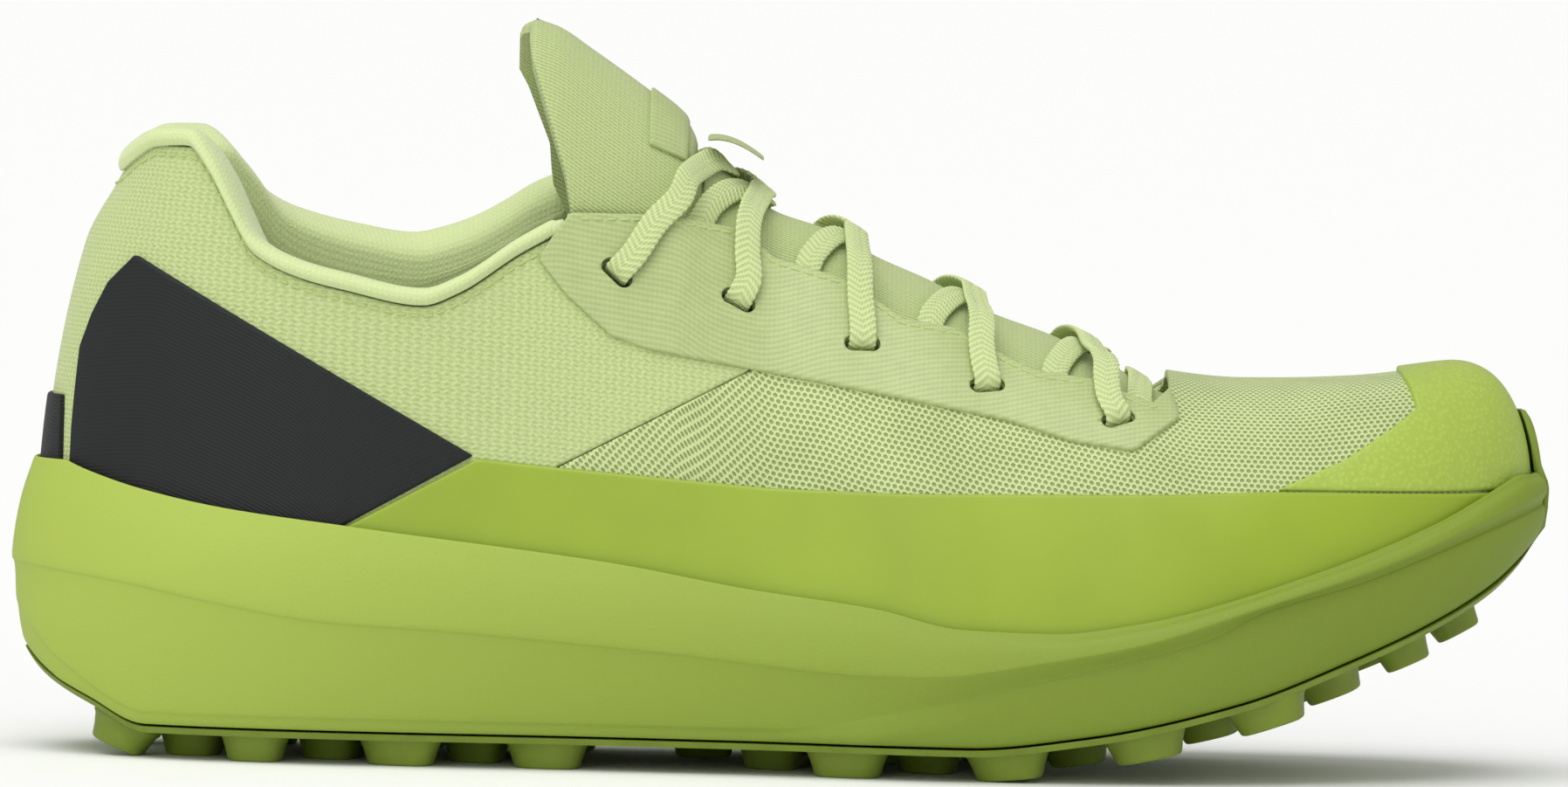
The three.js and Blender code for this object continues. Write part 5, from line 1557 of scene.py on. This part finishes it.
def make_lace(settings):
    width, thick = settings.lace_width / MM, settings.lace_thickness / MM
    samples = lace_samples()
    points, across = steady_frames(samples)
    place = along_line(points)
    at = np.linspace(0, place[-1], int(place[-1] / LACE_STEP))
    line = spline(points, place, at)
    side = spline(across, place, at)
    travel = unit(np.gradient(line, axis=0))
    side = unit(side - travel * np.sum(side * travel, axis=1, keepdims=True))
    face = np.cross(side, travel)
    turn = np.linspace(0, 2 * math.pi, LACE_RING, endpoint=False)
    flat_x = np.sign(np.cos(turn)) * np.abs(np.cos(turn)) ** 0.5
    flat_y = np.sign(np.sin(turn)) * np.abs(np.sin(turn)) ** 0.8
    scallop = 1 + 0.035 * np.sin(at / PLAIT_LENGTH * 2 * math.pi)
    slant = at[:, None] + np.abs(flat_x) * width * 0.31
    plait = 1 + 0.16 * np.sin(2 * math.pi * slant / PLAIT_LENGTH)
    spread = side[:, None] * (flat_x * width / 2)[None, :, None] * scallop[:, None, None]
    grid = line[:, None] + spread + face[:, None] * (flat_y * thick / 2 * plait)[..., None]
    places = np.stack([at[:, None] + 0 * flat_x, 0 * at[:, None] + flat_x * width / 2], axis=-1)
    lace = mesh_object(
        "flat_lace", grid.reshape(-1, 3), tube_faces(len(at), LACE_RING), finish("lace"),
        places.reshape(-1, 2))
    settle(lace, SHOE, "lace", "lace")
    for node in ("aglet_start", "aglet_end"):
        settle(lace_tip(node), SHOE, "aglet", node)


TIP_CORNER = 0.35


def lace_tip(node):
    """A pressed sleeve in the place of the frame's plain one, with softened corners."""
    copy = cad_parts[node].data.copy()
    work = bmesh.new()
    work.from_mesh(copy)
    work.transform(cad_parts[node].matrix_world)
    bmesh.ops.remove_doubles(work, verts=work.verts, dist=1e-6)
    bmesh.ops.dissolve_limit(work, angle_limit=0.02, verts=work.verts, edges=work.edges)
    bmesh.ops.bevel(
        work, geom=list(work.edges), offset=TIP_CORNER * MM, segments=3, profile=0.5,
        affect="EDGES")
    work.to_mesh(copy)
    work.free()
    copy.materials.clear()
    copy.materials.append(finish("aglet"))
    copy.shade_smooth()
    return new_object(f"{node}_sleeve", copy)


# ---------------------------------------------------------------------------------------------
# Stitching
# ---------------------------------------------------------------------------------------------


def stitch_template():
    """A short thread lying along X, of unit length."""
    points, count = [], 6
    rows = [(-0.5, 0.15), (-0.38, 0.85), (0, 1.0), (0.38, 0.85), (0.5, 0.15)]
    for x, size in rows:
        for j in range(count):
            a = 2 * math.pi * j / count
            points.append((x, 0.16 * size * math.cos(a), 0.16 * size * math.sin(a)))
    faces = tube_faces(len(rows), count, capped=False)
    faces += [tuple(range(count))[::-1], tuple(range((len(rows) - 1) * count, len(rows) * count))]
    mesh = bpy.data.meshes.new("stitch shape")
    mesh.from_pydata(points, [], faces)
    return bpy.data.objects.new("stitch shape", mesh)


def stitch_line(name, runs, length, pitch, material):
    """Stitches along runs of (points, normals), in design millimetres."""
    places, turns, sizes = [], [], []
    for points, normals in runs:
        place = along_line(points)
        for at in np.arange(pitch / 2, place[-1], pitch):
            here, ahead, normal = (
                np.array([np.interp(where, place, values[:, axis]) for axis in range(3)])
                for where, values in ((at, points), (at + 0.3, points), (at, normals)))
            x = Vector(ahead - here).normalized()
            z = Vector(normal)
            z = (z - x * z.dot(x)).normalized()
            y = z.cross(x)
            places.append(here)
            turns.append(tuple(Matrix((x, y, z)).transposed().to_euler("XYZ")))
            sizes.append((length * MM,) * 3)
    return scattered(name, places, turns, sizes, stitch_template(), material)


def form_run(side, stations, angles, offset):
    """Points and outward normals along a line on the foot form."""
    low, high = (FOOT[side].at(stations, angles, offset + d) for d in (0, 0.5))
    return low, unit(high - low)


ROLL_SEAM_DROP, ROLL_SEAM_ENDS = 1.8, (4, 103)
THROAT_SEAM_DROP, THROAT_SEAM_ENDS = 1.3, (108, 221)


def make_stitching(settings):
    """Seams beside the collar roll and along the lace opening."""
    runs = []

    def run(side, area, ends, offset):
        form = FOOT[side]
        _, high = span(side, area)
        between = (form.stations > ends[0]) & (form.stations < ends[1])
        picked = np.flatnonzero(np.isfinite(high) & between)[::2]
        runs.append(form_run(side, form.stations[picked], high[picked], offset))

    for side in SIDES:
        run(side, lambda side, x, z: collar_top[side](x) - ROLL_HEIGHT - ROLL_SEAM_DROP - z,
            ROLL_SEAM_ENDS, 0.1)
        run(side, lambda _, x, z: least(
            throat(x) - THROAT_SEAM_DROP - z, THROAT_SEAM_ENDS[1] - x, x - THROAT_SEAM_ENDS[0]),
            (-1, LENGTH + 1), FILM_OUTER)
    seams = stitch_line(
        "seam_stitches", runs, settings.stitch_length / MM, settings.stitch_pitch / MM,
        finish("thread"))
    settle(seams, SHOE, "lace")


# ---------------------------------------------------------------------------------------------
# Stage
# ---------------------------------------------------------------------------------------------

VIEW_WIDTH = 0.3031
VIEW_CENTRE = (0.0002, 0.0, 0.0714)
VIEW_DISTANCE = 2.6
SENSOR = 36.0
FLOOR_SIZE = 60.0
# name, direction the light comes from, spread in degrees, strength
SUNS = [("top", (-0.15, -0.35, 1.0), 50, 1.75), ("front", (-0.35, -1.0, 0.45), 60, 0.75)]


def make_stage(settings):
    half = FLOOR_SIZE / 2
    mesh = bpy.data.meshes.new("studio_floor")
    corners = [(-half, -half, 0), (half, -half, 0), (half, half, 0), (-half, half, 0)]
    mesh.from_pydata(corners, [], [(0, 1, 2, 3)])
    floor = new_object("studio_floor", mesh)
    paper = Finish("studio floor", roughness=0.9)
    paper.colour(tuple(settings.floor_colour))
    mesh.materials.append(paper.material)

    for name, place, spread, power in SUNS:
        lamp = bpy.data.lights.new(name, "SUN")
        lamp.angle = math.radians(spread)
        lamp.energy = power * settings.light_power
        holder = new_object(name, lamp)
        holder.rotation_euler = (-Vector(place)).to_track_quat("-Z", "Y").to_euler()
    world = bpy.data.worlds.new("studio")
    world.use_nodes = True
    world.node_tree.nodes["Background"].inputs[0].default_value = (1, 1, 1, 1)
    world.node_tree.nodes["Background"].inputs[1].default_value = settings.sky_power
    bpy.context.scene.world = world
    bpy.context.scene.view_settings.view_transform = "Standard"

    camera = new_object("camera", bpy.data.cameras.new("camera"))
    camera.data.sensor_width = SENSOR
    camera.data.lens = SENSOR * VIEW_DISTANCE / VIEW_WIDTH
    camera.data.clip_end = 30
    rise = settings.camera_elevation
    back = Vector((0, -math.cos(rise), math.sin(rise)))
    right = Vector((1, 0, 0))
    up = back.cross(right)
    roll = settings.camera_roll
    turned_right = right * math.cos(roll) + up * math.sin(roll)
    turned_up = up * math.cos(roll) - right * math.sin(roll)
    matrix = Matrix((turned_right, turned_up, back)).transposed().to_4x4()
    matrix.translation = Vector(VIEW_CENTRE) + back * VIEW_DISTANCE
    camera.matrix_world = matrix
    bpy.context.scene.camera = camera


# ---------------------------------------------------------------------------------------------
# Add-on
# ---------------------------------------------------------------------------------------------


def colour_property(name, description, red, green, blue):
    return FloatVectorProperty(
        name=name, description=description, subtype="COLOR", size=3, min=0, max=1,
        default=paint(red, green, blue))


def length_property(name, description, default):
    return FloatProperty(
        name=name, description=description, default=default, min=0, unit="LENGTH", precision=5)


class ShoeSettings(PropertyGroup):
    """Sizes and colours of the shoe."""

    foam_colour: colour_property("Foam", "Midsole foam at the heel", 164, 184, 76)
    # Painted shade: the darker foam colour blended in low and at the front of the midsole.
    foam_painted_shade_colour: colour_property("Foam painted shade", "Midsole foam low at the front", 116, 136, 34)
    rubber_colour: colour_property("Rubber", "Outsole rubber", 118, 137, 40)
    film_colour: colour_property("Rand", "Film band above the sole", 145, 167, 42)
    cap_colour: colour_property("Toe cap", "Embossed film on the toe", 165, 187, 74)
    knit_colour: colour_property("Knit", "Raised yarn of the quarters", 197, 211, 149)
    knit_shadow: colour_property("Knit shadow", "Yarn between the raised stitches", 162, 177, 112)
    mesh_colour: colour_property("Mesh", "Threads of the vamp mesh", 200, 214, 149)
    mesh_shadow: colour_property("Mesh holes", "Under-layer seen through the holes", 136, 149, 90)
    eyestay_colour: colour_property("Eyestay", "Film along the lace holes", 175, 188, 127)
    black_colour: colour_property("Heel panel", "Twill on the heel", 15, 17, 18)
    lining_colour: colour_property("Lining", "Brushed lining and collar", 214, 228, 166)
    tongue_colour: colour_property("Tongue", "Raised ribs of the tongue", 197, 211, 150)
    tongue_shadow: colour_property("Tongue shadow", "Yarn between the ribs", 150, 166, 98)
    lace_colour: colour_property("Lace", "Braided lace", 206, 220, 155)
    thread_colour: colour_property("Thread", "Seam stitches", 188, 203, 130)
    floor_colour: colour_property("Floor", "Studio floor and backdrop", 244, 244, 243)
    knit_cell: length_property("Knit cell", "Width of one knit column", 0.0015)
    mesh_pitch: length_property("Mesh pitch", "Distance between mesh holes", 0.00125)
    lace_width: length_property("Lace width", "Width of the flat lace", 0.0052)
    lace_thickness: length_property("Lace thickness", "Thickness of the flat lace", 0.001)
    stitch_length: length_property("Stitch length", "Visible length of one stitch", 0.0019)
    stitch_pitch: length_property("Stitch pitch", "Distance between stitches", 0.0026)
    light_power: FloatProperty(
        name="Light power", description="Scales every studio light", default=1.0, min=0)
    sky_power: FloatProperty(
        name="Sky power", description="Strength of the even light from all sides", default=0.5,
        min=0)
    camera_elevation: FloatProperty(
        name="Camera elevation", description="Height of the view above the horizon",
        default=math.radians(2.5), subtype="ANGLE", unit="ROTATION")
    camera_roll: FloatProperty(
        name="Camera roll", description="Tilt of the view about its own axis",
        default=math.radians(1.3), subtype="ANGLE", unit="ROTATION")


class ShoeOperator:
    """What every operator of the shoe shares: it runs one function on the settings."""

    bl_options = {"REGISTER", "UNDO"}

    def execute(self, context):
        self.make(context.scene.shoe_settings)
        return {"FINISHED"}


class SHOE_OT_stage(ShoeOperator, Operator):
    """Add the floor, the studio lights and the camera."""

    bl_idname = "shoe.stage"
    bl_label = "Stage"
    make = staticmethod(make_stage)


class SHOE_OT_sole(ShoeOperator, Operator):
    """Make the foam midsole and the lugged rubber outsole."""

    bl_idname = "shoe.sole"
    bl_label = "Sole"
    make = staticmethod(make_sole)


class SHOE_OT_inside(ShoeOperator, Operator):
    """Make the insole and the lining, and finish the hidden boards and stiffeners."""

    bl_idname = "shoe.inside"
    bl_label = "Inside"
    make = staticmethod(make_inside)


class SHOE_OT_upper(ShoeOperator, Operator):
    """Make the quarters, the vamp and the overlays on them."""

    bl_idname = "shoe.upper"
    bl_label = "Upper"
    make = staticmethod(make_upper)


class SHOE_OT_collar(ShoeOperator, Operator):
    """Make the padded roll round the ankle opening."""

    bl_idname = "shoe.collar"
    bl_label = "Collar"
    make = staticmethod(make_collar)


class SHOE_OT_tongue(ShoeOperator, Operator):
    """Make the tongue, its patch and its pull tab."""

    bl_idname = "shoe.tongue"
    bl_label = "Tongue"
    make = staticmethod(make_tongue)


class SHOE_OT_lace(ShoeOperator, Operator):
    """Thread the flat lace through its ten slots."""

    bl_idname = "shoe.lace"
    bl_label = "Lace"
    make = staticmethod(make_lace)


class SHOE_OT_stitching(ShoeOperator, Operator):
    """Sew the visible seams."""

    bl_idname = "shoe.stitching"
    bl_label = "Stitching"
    make = staticmethod(make_stitching)


OPERATORS = (
    SHOE_OT_stage, SHOE_OT_sole, SHOE_OT_inside, SHOE_OT_upper, SHOE_OT_collar, SHOE_OT_tongue,
    SHOE_OT_lace, SHOE_OT_stitching)


class SHOE_PT_panel(Panel):
    """Lists the shoe's sizes, colours and pieces."""

    bl_label = "Trail shoe"
    bl_idname = "SHOE_PT_panel"
    bl_space_type = "VIEW_3D"
    bl_region_type = "UI"
    bl_category = "Trail shoe"

    def draw(self, context):
        for name in ShoeSettings.__annotations__:
            self.layout.prop(context.scene.shoe_settings, name)
        for operator in OPERATORS:
            self.layout.operator(operator.bl_idname)


CLASSES = (ShoeSettings, *OPERATORS, SHOE_PT_panel)


def register():
    for each in CLASSES:
        bpy.utils.register_class(each)
    bpy.types.Scene.shoe_settings = PointerProperty(type=ShoeSettings)


def unregister():
    del bpy.types.Scene.shoe_settings
    for each in reversed(CLASSES):
        bpy.utils.unregister_class(each)


def main():
    register()
    for operator in OPERATORS:
        group, name = operator.bl_idname.split(".")
        getattr(getattr(bpy.ops, group), name)()


if __name__ == "__main__":
    main()
